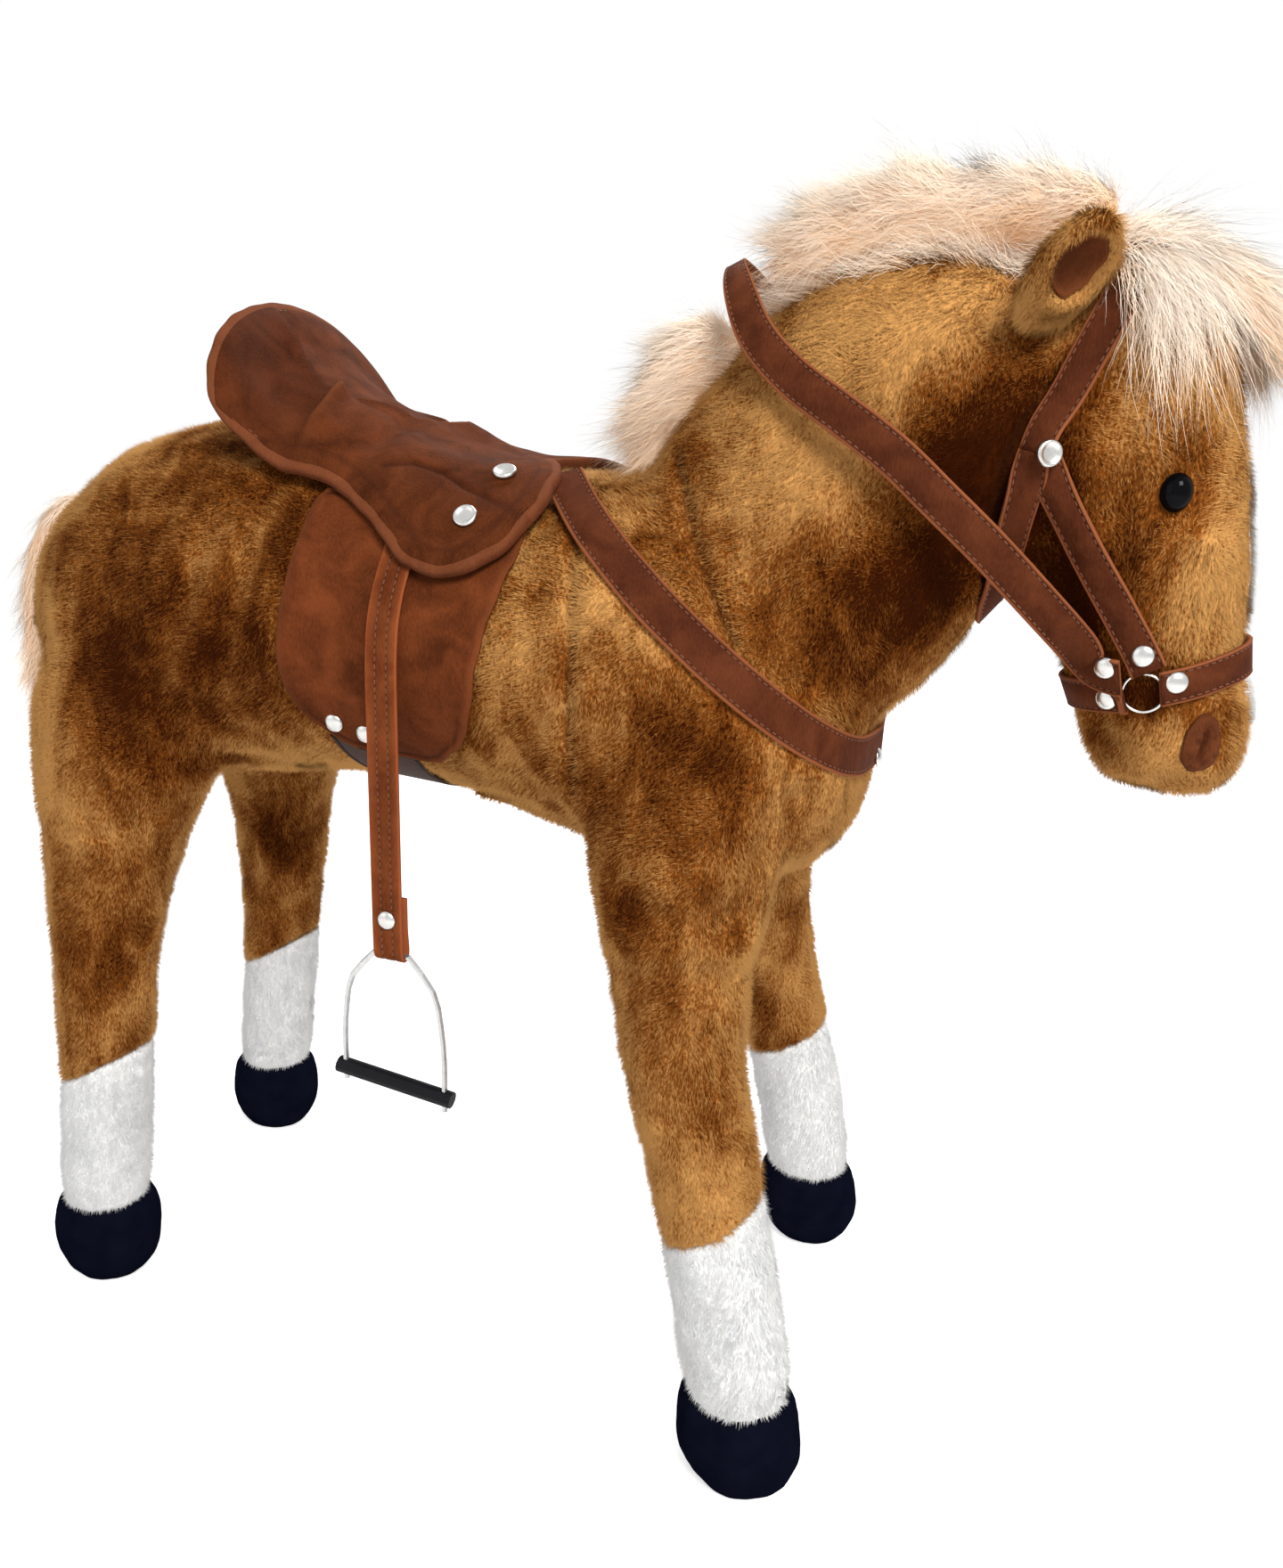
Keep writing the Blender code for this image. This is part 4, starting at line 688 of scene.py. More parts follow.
def dipped(points, normals):
    """The back pressed down where the saddle's front lies on it."""
    place, reach, depth = BACK_DIP
    share = bell(points[:, 0] - place, reach) * np.clip(normals[:, 2], 0, 1) ** 0.7
    return points - np.array([0, 0, 1]) * (depth * share)[:, None]


def brushed(points):
    """How much paler or darker the pile looks at each point, from the patches: painted light and shade, in part also
    the lay of the pile.
    """
    shade = np.zeros(len(points))
    for forward, up, reach, amount in PAINTED_LIGHT_AND_NAP_PATCHES:
        distance = np.linalg.norm(points[:, [0, 2]] - np.array([forward, up]), axis=1)
        shade += amount * bell(distance, reach)
    return shade


def finish_coat_skin(mesh):
    points, normals, _ = arrays_of(mesh)
    points, seam = press_lines(dipped(points, normals), normals)
    points = dimpled(points, normals, 0.045, 0.0022, 3.0)
    points = dimpled(points, normals, 0.016, 0.0009, 7.0)
    set_points(mesh, points)
    marked(mesh, "seam", seam)
    # The shade mark carries the patches' painted light and shade.
    marked(mesh, "shade", brushed(points))
    return seam


COAT_SEAM = finish_coat_skin(COAT)
COAT_TREE = tree_of(COAT)
coat = piece_from("plush_coat", COAT, BROWN_GROUND, "horse", COAT_NODES)
print("seam points:", int((COAT_SEAM > 0.5).sum()))

# %% [markdown]
# Socks and hooves are separate sewn pieces, so each gets its own skin. The sock's upper end was cut flat in
# the frame; relaxing rounds it over, and the pile will hide the join.

# %% Socks, hooves and ears
LEGS = [f"{end}_{side}" for end in ("front", "rear") for side in ("right", "left")]


def make_stuffed(name, nodes, voxel, rounds, finish, body, dents=0.0012):
    """A stuffed piece in the place of its node: wrapped, relaxed and dented a little."""
    mesh = remeshed(name, nodes, voxel)
    set_points(mesh, relaxed(arrays_of(mesh)[0], edges_of(mesh), rounds))
    points, normals, _ = arrays_of(mesh)
    low = points[:, 2].min()
    moved = dimpled(points, normals, 0.022, dents, 11.0)
    moved[:, 2] = np.maximum(moved[:, 2], low)
    set_points(mesh, moved)
    made = piece_from(name, mesh, finish, body, nodes)
    return made


socks = [
    make_stuffed(f"plush_sock_{leg}", [f"sock_{leg}"], 0.0028, 4, WHITE_GROUND, "horse")
    for leg in LEGS
]
hooves = [
    make_stuffed(f"cloth_hoof_{leg}", [f"hoof_{leg}"], 0.0024, 5, HOOF_CLOTH, "horse")
    for leg in LEGS
]
ears = [
    make_stuffed(f"plush_ear_{side}", [f"ear_{side}"], 0.0016, 2, BROWN_GROUND, "horse", 0.0005)
    for side in ("right", "left")
]
EAR_SHADE = 0.09
for ear in ears:
    marked(ear.data, "shade", np.full(len(ear.data.vertices), EAR_SHADE))
print("socks, hooves and ears:", len(socks) + len(hooves) + len(ears))

# %% [markdown]
# Straps lie on the coat. A strap could be a curve with a bevel, but its section matters here: a thin rubbed
# lip at both edges and a groove where the stitching pulls it down. So a section is swept along the route by
# hand, and the mesh is marked where edge and groove run; the groove is darkened with painted shade.

# %% Sweeping a strap's section along its route
STRAP_WIDTH = 0.022
BRIDLE_WIDTH = 0.017
STRAP_THICKNESS = 0.0025
STITCH_LENGTH = 0.0026
STITCH_GAP = 0.0014
STITCH_RADIUS = 0.00042
# Half of the section from its foot to its middle: across, up, edge wear, groove with its painted shade; shares of
# half width and thickness
EDGE_SHARES = ((0.97, 0.0, 1, 0), (1.0, 0.45, 1, 0), (0.985, 0.85, 1, 0), (0.93, 1.0, 0.8, 0), (0.87, 0.97, 0.3, 0.2))
GROOVE_SHARES = ((-0.07, 0.93, 0, 0.5), (0.0, 0.70, 0, 1), (0.07, 0.93, 0, 0.5))


def strap_section(grooves):
    """The section right across: both edges, and a groove at each of the named shares of the half width."""
    right = [(-across, up, edge, groove) for across, up, edge, groove in EDGE_SHARES]
    middle = []
    for share in sorted(grooves):
        middle += [(share + across, up, edge, groove) for across, up, edge, groove in GROOVE_SHARES]
    return np.array(right + middle + [tuple(row) for row in reversed(EDGE_SHARES)])


def strap_frames(route, outward):
    """Directions across and out at each place of a route."""
    along = unit(np.gradient(route, axis=0))
    across = unit(np.cross(along, outward))
    return across, unit(np.cross(across, along))


def make_strap(name, route, outward, width, thickness, finish, body, replaced, grooves=(-0.76, 0.76)):
    """A strap whose underside runs along the route, sewn along its grooves."""
    section = strap_section(grooves)
    across, out = strap_frames(route, outward)
    width = np.broadcast_to(width, len(route))[:, None]
    reach = section[:, 0][None, :, None] * (across * width / 2)[:, None, :]
    points = route[:, None, :] + reach + section[:, 1][None, :, None] * out[:, None, :] * thickness
    count = len(section)
    faces = grid_faces(len(route), count, round_across=True)
    mesh = mesh_from(name, points.reshape(-1, 3), faces)
    close_ends(mesh, len(route), count)
    marked(mesh, "edge", np.tile(section[:, 2], len(route)))
    marked(mesh, "groove", np.tile(section[:, 3], len(route)))
    made = piece_from(name, mesh, finish, body, replaced)
    sew(name + "_stitches", route, across, out, width, thickness, grooves, body)
    return made


def close_ends(mesh, rows, count):
    shape = bmesh.new()
    shape.from_mesh(mesh)
    shape.verts.ensure_lookup_table()
    first = [shape.verts[place] for place in range(count)]
    last = [shape.verts[(rows - 1) * count + place] for place in range(count)]
    shape.faces.new(first)
    shape.faces.new(list(reversed(last)))
    bmesh.ops.recalc_face_normals(shape, faces=shape.faces)
    shape.to_mesh(mesh)
    shape.free()


# %% [markdown]
# Each stitch is a small rounded bar of thread lying in the groove. All of one strap's stitches are one piece.

# %% Stitches
BAR_SHARES = ((0.0, 0.35), (0.12, 0.85), (0.5, 1.0), (0.88, 0.85), (1.0, 0.35))
BAR_SIDES = 6


def stitch_bars(starts, ends, out):
    """Points and faces of small rounded bars from each start to its end."""
    along = ends - starts
    side = unit(np.cross(along, out))
    lift = unit(np.cross(side, along))
    angles = np.arange(BAR_SIDES) * 2 * math.pi / BAR_SIDES
    rings = []
    for share, swell in BAR_SHARES:
        middle = starts + along * share
        spread = side[:, None] * np.cos(angles)[None, :, None] + lift[:, None] * np.sin(angles)[None, :, None]
        rings.append(middle[:, None] + spread * STITCH_RADIUS * swell)
    points = np.stack(rings, axis=1)
    one = grid_faces(len(BAR_SHARES), BAR_SIDES, round_across=True)
    size = len(BAR_SHARES) * BAR_SIDES
    faces = (one[None] + (np.arange(len(starts)) * size)[:, None, None]).reshape(-1, 4)
    return points.reshape(-1, 3), faces


def length_of(line):
    return float(np.linalg.norm(np.diff(line, axis=0), axis=1).sum())


def at_distances(line, out, wanted):
    """Places and directions along a chain of points, at these distances from its start, in one array."""
    walked = np.concatenate([[0], np.cumsum(np.linalg.norm(np.diff(line, axis=0), axis=1))])
    both = np.concatenate([line, out], axis=1)
    return np.stack([np.interp(wanted, walked, both[:, axis]) for axis in range(6)], axis=1)


def sew_line(line, out):
    """Starts, ends and outward directions of the stitches along one line."""
    starts = np.arange(STITCH_GAP, length_of(line) - STITCH_LENGTH, STITCH_LENGTH + STITCH_GAP)
    first = at_distances(line, out, starts)
    last = at_distances(line, out, starts + STITCH_LENGTH)
    return first[:, :3], last[:, :3], first[:, 3:]


def make_stitches(name, lines, body, finish=THREAD):
    """All the stitches of one piece, along several lines of (places, outward directions)."""
    found = [sew_line(line, out) for line, out in lines]
    starts, ends, out = (np.concatenate(part) for part in zip(*found))
    points, faces = stitch_bars(starts, ends, out)
    return piece_from(name, mesh_from(name, points, faces), finish, body)


def sew(name, route, across, out, width, thickness, grooves, body):
    lines = []
    for share in grooves:
        line = route + across * share * width / 2 + out * (thickness * 0.72 + STITCH_RADIUS / 2)
        lines.append((line, out))
    return make_stitches(name, lines, body)


# %% [markdown]
# The straps that go round the body already lie in the frame as plain bands. Rays cast towards the middle of
# such a loop meet the band one after another and give back its line, so the fine strap lies where the plain
# one does. It is then settled on the dented coat and carried on to the rivet or the ring that holds its ends.

# %% Reading a loop's line from its node
RAYS = 360
WIDEST_GAP = 40
LOOP_REACH = 0.3


def loop_line(node, square_to=None):
    """Outer middle line of a band that goes round a limb, with its outward directions."""
    points, _, _ = arrays_of(frame["nodes"][node].data)
    tree = tree_of(frame["nodes"][node].data)
    centre = points.mean(axis=0)
    if square_to is None:
        square_to = np.linalg.svd(points - centre, full_matrices=False)[2][2]
    square_to = Vector(square_to).normalized()
    first = square_to.orthogonal().normalized()
    second = square_to.cross(first)
    middle = Vector(centre)
    found = []
    for ray in range(RAYS):
        angle = 2 * math.pi * ray / RAYS
        aim = first * math.cos(angle) + second * math.sin(angle)
        spot, normal, *_ = tree.ray_cast(middle + aim * LOOP_REACH, -aim)
        on_this_side = spot and normal.dot(aim) > 0.4 and (spot - middle).dot(aim) > 0
        found.append((spot, normal) if on_this_side else None)
    return opened(found)


def opened(found):
    """The hits in order, started just after the widest run of misses."""
    missing = [place for place, hit in enumerate(found) if hit is None]
    if missing:
        gaps = [(sum(found[(place + step) % RAYS] is None for step in range(WIDEST_GAP)), place) for place in missing]
        start = max(gaps)[1]
        found = found[start:] + found[:start]
    hits = [hit for hit in found if hit is not None][1:-1]
    return np.array([hit[0] for hit in hits]), np.array([hit[1] for hit in hits])


def evened(line, out, step=0.003, rounds=6):
    """The line with even steps and its small kinks smoothed away, both ends kept."""
    total = length_of(line)
    both = at_distances(line, out, np.linspace(0, total, max(3, int(total / step))))
    for _ in range(rounds):
        both[1:-1] = both[1:-1] * 0.5 + (both[:-2] + both[2:]) * 0.25
    return both[:, :3], unit(both[:, 3:])


PROBE = 0.014
COAT_CLEARANCE = 0.0008
MOST_LIFT = 0.006
RIVET_PLACE = (0.2685, 0.0500, 0.5748)
NOSEBAND_END = (0.3375, 0.0512, 0.4690)
CHIN_END = (0.3225, 0.0478, 0.4630)


def settled(line, out, width):
    """The line moved out wherever the coat would stand through the strap's underside."""
    across, _ = strap_frames(line, out)
    lifted = line.copy()
    for place, (spot, aim, aside) in enumerate(zip(line, out, across)):
        sunk = [0.0]
        for share in (-0.45, 0.0, 0.45):
            foot = spot + aside * share * width
            hit = COAT_TREE.ray_cast(Vector(foot + aim * PROBE), Vector(-aim), 2 * PROBE)[0]
            if hit:
                sunk.append((np.array(hit) - foot) @ aim + STRAP_THICKNESS + COAT_CLEARANCE)
        lifted[place] += aim * min(max(sunk), MOST_LIFT)
    return evened(lifted, out, rounds=6)


def reaching(line, out, target, step=0.002):
    """The line carried on from each end to the target on that end's side of the head."""
    for _ in range(2):
        end = np.array(target) * (1, math.copysign(1, line[-1, 1]), 1)
        shares = np.linspace(0, 1, max(3, int(np.linalg.norm(end - line[-1]) / step)))[1:, None]
        line = np.concatenate([line, line[-1] + (end - line[-1]) * shares])[::-1]
        out = np.concatenate([out, np.repeat(out[-1:], len(shares), axis=0)])[::-1]
    return line, out


def sew_strap(name, line, out, nodes, width=BRIDLE_WIDTH):
    line, out = settled(line, out, width)
    make_strap(name, line - out * STRAP_THICKNESS, out, width, STRAP_THICKNESS, STRAP_SUEDE, "horse", nodes)
    print(name, "length", round(length_of(line), 3))


def bridle_line(node):
    """A band's line with its first place on the right, and its last on the left."""
    line, out = loop_line(node)
    return (line, out) if line[0, 1] < 0 else (line[::-1], out[::-1])


def run_on(line, out, length):
    """The line carried straight on past both ends."""
    for _ in range(2):
        step = unit(line[-1] - line[-4]) * length / 6
        line = np.concatenate([line, line[-1] + step * np.arange(1, 7)[:, None]])[::-1]
        out = np.concatenate([out, np.repeat(out[-1:], 6, axis=0)])[::-1]
    return line, out


breast = evened(*run_on(*loop_line("breast_strap"), 0.016), rounds=12)
sew_strap("sewn_breast_strap", *breast, ["breast_strap"], STRAP_WIDTH)
crown, crown_out = reaching(*bridle_line("crown_strap"), RIVET_PLACE)
throat, throat_out = bridle_line("throat_strap")
headpiece = np.concatenate([crown, throat[::-1], crown[:1]])
headpiece_out = np.concatenate([crown_out, throat_out[::-1], crown_out[:1]])
sew_strap("sewn_headpiece", *evened(headpiece, headpiece_out, rounds=10), ["crown_strap", "throat_strap"])
sew_strap("sewn_noseband", *evened(*reaching(*bridle_line("noseband"), NOSEBAND_END), rounds=8), ["noseband"])
sew_strap("sewn_chin_strap", *evened(*reaching(*bridle_line("chin_strap"), CHIN_END), rounds=8), ["chin_strap"])

# %% [markdown]
# The girth is a broad webbing band under the belly, drawn tight under both lower flaps.

# %% Girth
GIRTH_WIDTH = 0.052
GIRTH_THICKNESS = 0.0022
line, out = evened(*loop_line("girth", (1, 0, 0)), rounds=12)
girth = make_strap(
    "girth_band", line - out * GIRTH_THICKNESS, out, GIRTH_WIDTH, GIRTH_THICKNESS, DARK_WEBBING, "horse",
    ["girth"], (-0.9, 0.9),
)
print("girth points:", len(girth.data.vertices))

# %% [markdown]
# Cheek straps run from the upper cap to the ring on each side. Seen from the side they are nearly straight,
# so the line is laid on the coat by rays cast from the side at a few places along it.

# %% Cheek straps
# Forward and up
CHEEK_PLACES = ((0.2690, 0.5735), (0.2850, 0.5485), (0.3000, 0.5250), (0.3155, 0.5025), (0.3272, 0.4846))
CHEEK_END = (0.3312, 0.0515, 0.4762)


def side_line(places, side):
    """A line laid on the coat by rays from the side, with its outward directions."""
    found = [side_hit(COAT_TREE, forward, up, side) for forward, up in smooth_line(np.array(places), 6)]
    return np.array([hit[0] for hit in found]), np.array([hit[1] for hit in found])


def smooth_line(points, steps):
    """A smooth curve through the given points, as Catmull and Rom drew it."""
    padded = np.concatenate([[2 * points[0] - points[1]], points, [2 * points[-1] - points[-2]]])
    found = []
    for first, start, end, last in zip(padded, padded[1:], padded[2:], padded[3:]):
        for t in np.arange(steps) / steps:
            bend = (2 * first - 5 * start + 4 * end - last) * t * t
            twist = (3 * start - first - 3 * end + last) * t * t * t
            found.append((2 * start + (end - first) * t + bend + twist) / 2)
    return np.array(found + [points[-1]])


for side_word, side in SIDES:
    line, out = side_line(CHEEK_PLACES, side)
    line = np.concatenate([line + out * STRAP_THICKNESS, [np.array(CHEEK_END) * (1, side, 1)]])
    out = np.concatenate([out, out[-1:]])
    sew_strap("sewn_cheek_strap_" + side_word, *evened(line, out, rounds=6), ["cheek_strap_" + side_word])
print("cheek straps sewn")

# %% [markdown]
# The reins are one long strap from ring to ring, with a pointed loop standing over the crest of the neck.
# Their route is a smooth curve through listed places, the same as the frame's.

# %% Reins
REIN_END = (0.3180, 0.0515, 0.4720)
REIN_WIDTH = 0.0195
REIN_PINCH = 0.50
REIN_PINCH_REACH = 0.035
REIN_PLACES = (
    (0.3084, -0.0319, 0.4753), (0.2976, -0.0441, 0.4860), (0.2832, -0.0615, 0.5011), (0.2520, -0.0742, 0.5311),
    (0.2268, -0.0800, 0.5529), (0.2040, -0.0824, 0.5722), (0.1764, -0.0789, 0.5901), (0.1524, -0.0673, 0.6047),
    (0.1308, -0.0534, 0.6237), (0.1164, -0.0348, 0.6467), (0.1092, -0.0162, 0.6593), (0.1068, 0.0, 0.6629),
)


def rein_frame_line():
    """The middle line of the plain reins on the right: places on it, each with its outward direction."""
    tree = tree_of(frame["nodes"]["reins"].data)
    found = []
    for place in smooth_line(np.array(REIN_PLACES), 8):
        spot, normal, *_ = tree.find_nearest(Vector(place))
        outward = normal if normal.dot(Vector((-0.2, -1, 0.4))) > 0 else -normal
        found.append((spot if normal == outward else spot + outward * STRAP_THICKNESS, outward))
    return found


half = rein_frame_line()
places = np.array([spot for spot, _ in half])
facing = np.array([normal for _, normal in half])
mirror = np.array([1, -1, 1])
rein_line = np.concatenate([places, places[-2::-1] * mirror])
rein_out = np.concatenate([facing, facing[-2::-1] * mirror])
rein_line, rein_out = evened(*reaching(rein_line, rein_out, REIN_END), rounds=10)
narrowed = 1 - REIN_PINCH * bell(rein_line[:, 1], REIN_PINCH_REACH) * (rein_line[:, 2] > 0.55)
make_strap(
    "sewn_reins", rein_line - rein_out * STRAP_THICKNESS, rein_out, REIN_WIDTH * narrowed, STRAP_THICKNESS,
    STRAP_SUEDE, "horse", ["reins"],
)
print("reins length", round(length_of(rein_line), 3))

# %% [markdown]
# The saddle is a padded leathercloth seat with a raised, dished cantle. A few stations along its length say
# how far it reaches round the barrel and how high it rises; a smooth curve through them gives the rows, and
# each point is laid on the coat by a ray. The dish, the ridge and the creases are then pressed into the top.

# %% Saddle seat: rows laid on the coat
BACK_PLACE = Vector((-0.1710, 0.0, 0.4600))
SEAT_LENGTH = 0.202
CANTLE_RISE = 0.052
NOTCH_DEPTH = 0.032
NOTCH_POWER = 4.0
# The cantle stands as a wide oval bowl; these are measured from the back place
CANTLE_HALF_WIDTH = 0.088
CANTLE_TOP = 0.177
CANTLE_FOOT = 0.122
CANTLE_WRAP = 0.016
CANTLE_FALL = 0.20
CANTLE_BLEND = 0.20
SEAT_LIFT = 0.0095
# The flaps pass under the sides of the seat; its middle lies closer to the coat
MIDDLE_ROOM = 0.40
SEAT_THICKNESS = 0.0080
RIM_THICKNESS = 0.0050
HUMP_POWER = 1.25
SEAT_ROWS = 110
SEAT_COLUMNS = 141
# Station: place along, lower edge angle, rise at the middle and at the edges, setback of the middle
SEAT_SHARES = (
    (0.00, 0.36, 1.00, 0.72, 0.00), (0.07, 0.42, 0.74, 0.44, 0.00), (0.14, 0.45, 0.48, 0.25, 0.00),
    (0.25, 0.48, 0.22, 0.10, 0.00), (0.42, 0.51, 0.05, 0.00, 0.00), (0.56, 0.61, -0.02, 0.00, 0.10),
    (0.68, 0.73, -0.04, 0.01, 0.28), (0.80, 0.77, -0.04, 0.01, 0.55), (0.92, 0.71, -0.04, 0.01, 0.88),
    (1.00, 0.54, -0.04, 0.01, 1.10),
)


def seat_under(station, across):
    """A point of the seat's underside and its outward direction."""
    along, edge, rise, edge_rise, setback = station
    angle = across * edge * math.pi / 2
    hump = math.cos(across * math.pi / 2) ** HUMP_POWER
    notch = math.cos(across * math.pi / 2) ** NOTCH_POWER * setback * NOTCH_DEPTH
    lift = (edge_rise + (rise - edge_rise) * hump) * CANTLE_RISE
    axis = BACK_PLACE + Vector((along * SEAT_LENGTH - notch, 0, 0))
    aim = Vector((0, math.sin(angle), math.cos(angle)))
    spot, normal, *_ = COAT_TREE.ray_cast(axis + aim, -aim)
    room = MIDDLE_ROOM + (1 - MIDDLE_ROOM) * min(1.0, (across / 0.50) ** 2)
    laid = spot + normal * SEAT_LIFT * room + Vector((0, 0, lift))
    turn = across * math.pi / 2
    standing = BACK_PLACE + Vector((
        along * SEAT_LENGTH + CANTLE_WRAP * across ** 2, CANTLE_HALF_WIDTH * math.sin(turn),
        CANTLE_FOOT + (CANTLE_TOP - CANTLE_FOOT) * math.cos(turn) - CANTLE_FALL * along,
    ))
    return laid.lerp(standing, math.exp(-((along / CANTLE_BLEND) ** 2))), normal


def seat_grid():
    stations = at_rows(smooth_line(np.array(SEAT_SHARES), 7), SEAT_ROWS)
    spots = np.empty((SEAT_ROWS, SEAT_COLUMNS, 3))
    for row, station in enumerate(stations):
        for column, across in enumerate(np.linspace(-1, 1, SEAT_COLUMNS)):
            spots[row, column] = seat_under(station, across)[0]
    for _ in range(2):
        spots[1:-1, 1:-1] = (spots[:-2, 1:-1] + spots[2:, 1:-1] + spots[1:-1, :-2] + spots[1:-1, 2:]) / 4
    return spots


def at_rows(stations, rows):
    """Stations taken at even steps along the seat."""
    wanted = np.linspace(0, stations[-1, 0], rows)
    return np.stack([np.interp(wanted, stations[:, 0], stations[:, part]) for part in range(5)], axis=1)


def grid_normals(spots):
    return unit(np.cross(np.gradient(spots, axis=0), np.gradient(spots, axis=1)))


SEAT_UNDER = seat_grid()
SEAT_OUT = grid_normals(SEAT_UNDER)
SEAT_OUT *= np.sign((SEAT_OUT * (SEAT_UNDER - np.array(BACK_PLACE))).sum(axis=-1))[..., None]
print("seat grid", SEAT_UNDER.shape)

# %% [markdown]
# The top of the seat follows the underside, but with its own relief. Each feature is a soft hump or hollow
# at a place given in shares: along the seat from the cantle, and across it from right to left.

# %% Saddle seat: relief and closed mesh
# Hump or hollow: along, across, reach along, reach across, height in metres
SEAT_RELIEF = (
    (0.12, -0.50, 0.10, 0.34, -0.0050), (0.12, 0.50, 0.10, 0.34, -0.0050), (0.10, 0.0, 0.10, 0.16, -0.0030),
    (0.48, -0.55, 0.030, 0.40, -0.0030), (0.48, 0.55, 0.030, 0.40, -0.0030), (0.60, 0.0, 0.16, 0.08, 0.0026),
    (0.55, -0.66, 0.03, 0.25, 0.0018), (0.80, -0.60, 0.09, 0.20, 0.0018),
    (0.80, 0.60, 0.09, 0.20, 0.0018), (0.70, -0.80, 0.02, 0.12, -0.0016), (0.66, 0.82, 0.02, 0.12, -0.0016),
)
DISH_SHADE = 0.62
# The raised front part of the seat ends in a crest: how far out, and where the crest lies there
CREST_OUT = (0.0, 0.024, 0.040, 0.070, 0.110)
CREST_FORWARD = (-0.058, -0.076, -0.114, -0.112, -0.106)
CREST_HEIGHT = 0.0085
CREST_SHARPNESS = 0.0015
CREST_RUN = 0.034
CREST_FADE = 0.05
CREST_LEFT_FADE = 0.032
# Forward and out: a fold runs down the bowl of the cantle, and a stitched line crosses each wing
BOWL_FOLD = ((-0.172, 0.016), (-0.158, 0.025), (-0.143, 0.032), (-0.129, 0.037), (-0.114, 0.041))
WING_STITCH = ((-0.058, 0.080), (-0.046, 0.073), (-0.030, 0.072), (-0.010, 0.079), (0.015, 0.088), (0.026, 0.092))
FOLD_STEP = 0.0100
FOLD_RUN = 0.016
# Width of the line of painted shade along the fold
FOLD_SHADE_WIDTH = 0.0024
RIM_REACH = 0.009
GROOVE_WIDTH = 0.0016
WING_GROOVE_DEPTH = 0.0016
WRINKLE_SIZE = 0.018
WRINKLE_HEIGHT = 0.0009


def seat_relief(along, across):
    height = np.zeros_like(along)
    for place, aside, reach, spread, rise in SEAT_RELIEF:
        height += rise * np.exp(-(((along - place) / reach) ** 2) - (((across - aside) / spread) ** 2))
    return height


def crest_relief(spots):
    """The step up from the bowl of the cantle to the padded front, highest at its edge, with a line of painted
    shade behind it and a painted highlight on its edge. On the left the stuffing is pressed down by wear and
    the step runs out."""
    aside = np.abs(spots[..., 1])
    front = spots[..., 0] - np.interp(aside, CREST_OUT, CREST_FORWARD)
    step = 1 / (1 + np.exp(-front / CREST_SHARPNESS))
    crease = bell(front + 0.003, 0.0035) * np.clip(1.5 - aside / CREST_FADE, 0, 1)
    wear_and_highlight = bell(front - 0.0025, 0.0025) * np.clip(1.8 - aside / CREST_FADE, 0, 1)
    left = np.clip(1.25 - np.maximum(spots[..., 1], 0) / CREST_LEFT_FADE, 0, 1)
    return CREST_HEIGHT * step * np.exp(-np.maximum(front, 0) / CREST_RUN) * left, crease, wear_and_highlight * left


def fold_relief(spots):
    """A fold on the right of the bowl: high on its outer side, with a thin line of painted shade on its inner
    side and painted shade over the half of the bowl that lies outside it."""
    flat = spots[..., :2].reshape(-1, 2) * (1, -1)
    distance = distance_to_line(flat, BOWL_FOLD).reshape(spots.shape[:2])
    outer = -spots[..., 1] - np.interp(spots[..., 0], *np.array(BOWL_FOLD).T)
    side = np.clip(outer / 0.0022, -1, 1)
    inside = np.clip((BOWL_FOLD[-1][0] + 0.012 - spots[..., 0]) / 0.008, 0, 1)
    shade = np.clip(0.5 + outer / 0.006, 0, 1) * np.clip((-0.098 - spots[..., 0]) / 0.022, 0, 1)
    groove = bell(distance, FOLD_SHADE_WIDTH) * inside
    return FOLD_STEP * np.exp(-distance / FOLD_RUN) * side * inside, groove, shade


def wing_distance(spots):
    """How far each point lies from the stitched line of its wing, as seen from above."""
    flat = np.stack([spots[..., 0].ravel(), np.abs(spots[..., 1]).ravel()], axis=1)
    return distance_to_line(flat, WING_STITCH).reshape(spots.shape[:2])


def round_rim(grid):
    """The outermost entries of a grid, in order round it."""
    return np.concatenate([grid[0, :-1], grid[:-1, -1], grid[-1, :0:-1], grid[:0:-1, 0]])


def edge_distance(spots):
    """How far each point of a grid lies from the grid's own rim."""
    flat = spots.reshape(-1, 3)
    nearest = np.full(len(flat), np.inf)
    for point in round_rim(spots):
        nearest = np.minimum(nearest, ((flat - point) ** 2).sum(axis=1))
    return np.sqrt(nearest).reshape(spots.shape[:2])


def slab_mesh(name, under, top, marks):
    """A closed mesh between two grids of points, joined round their rims."""
    rows, columns = under.shape[:2]
    faces = grid_faces(rows, columns)
    size = rows * columns
    rim = round_rim(np.arange(size).reshape(rows, columns))
    after = np.roll(rim, -1)
    wall = np.stack([rim, after, after + size, rim + size], axis=1)
    points = np.concatenate([under.reshape(-1, 3), top.reshape(-1, 3)])
    mesh = mesh_from(name, points, np.concatenate([faces[:, ::-1], faces + size, wall]))
    for title, values in marks.items():
        marked(mesh, title, np.tile(values.ravel(), 2))
    turned_out(mesh)
    return mesh


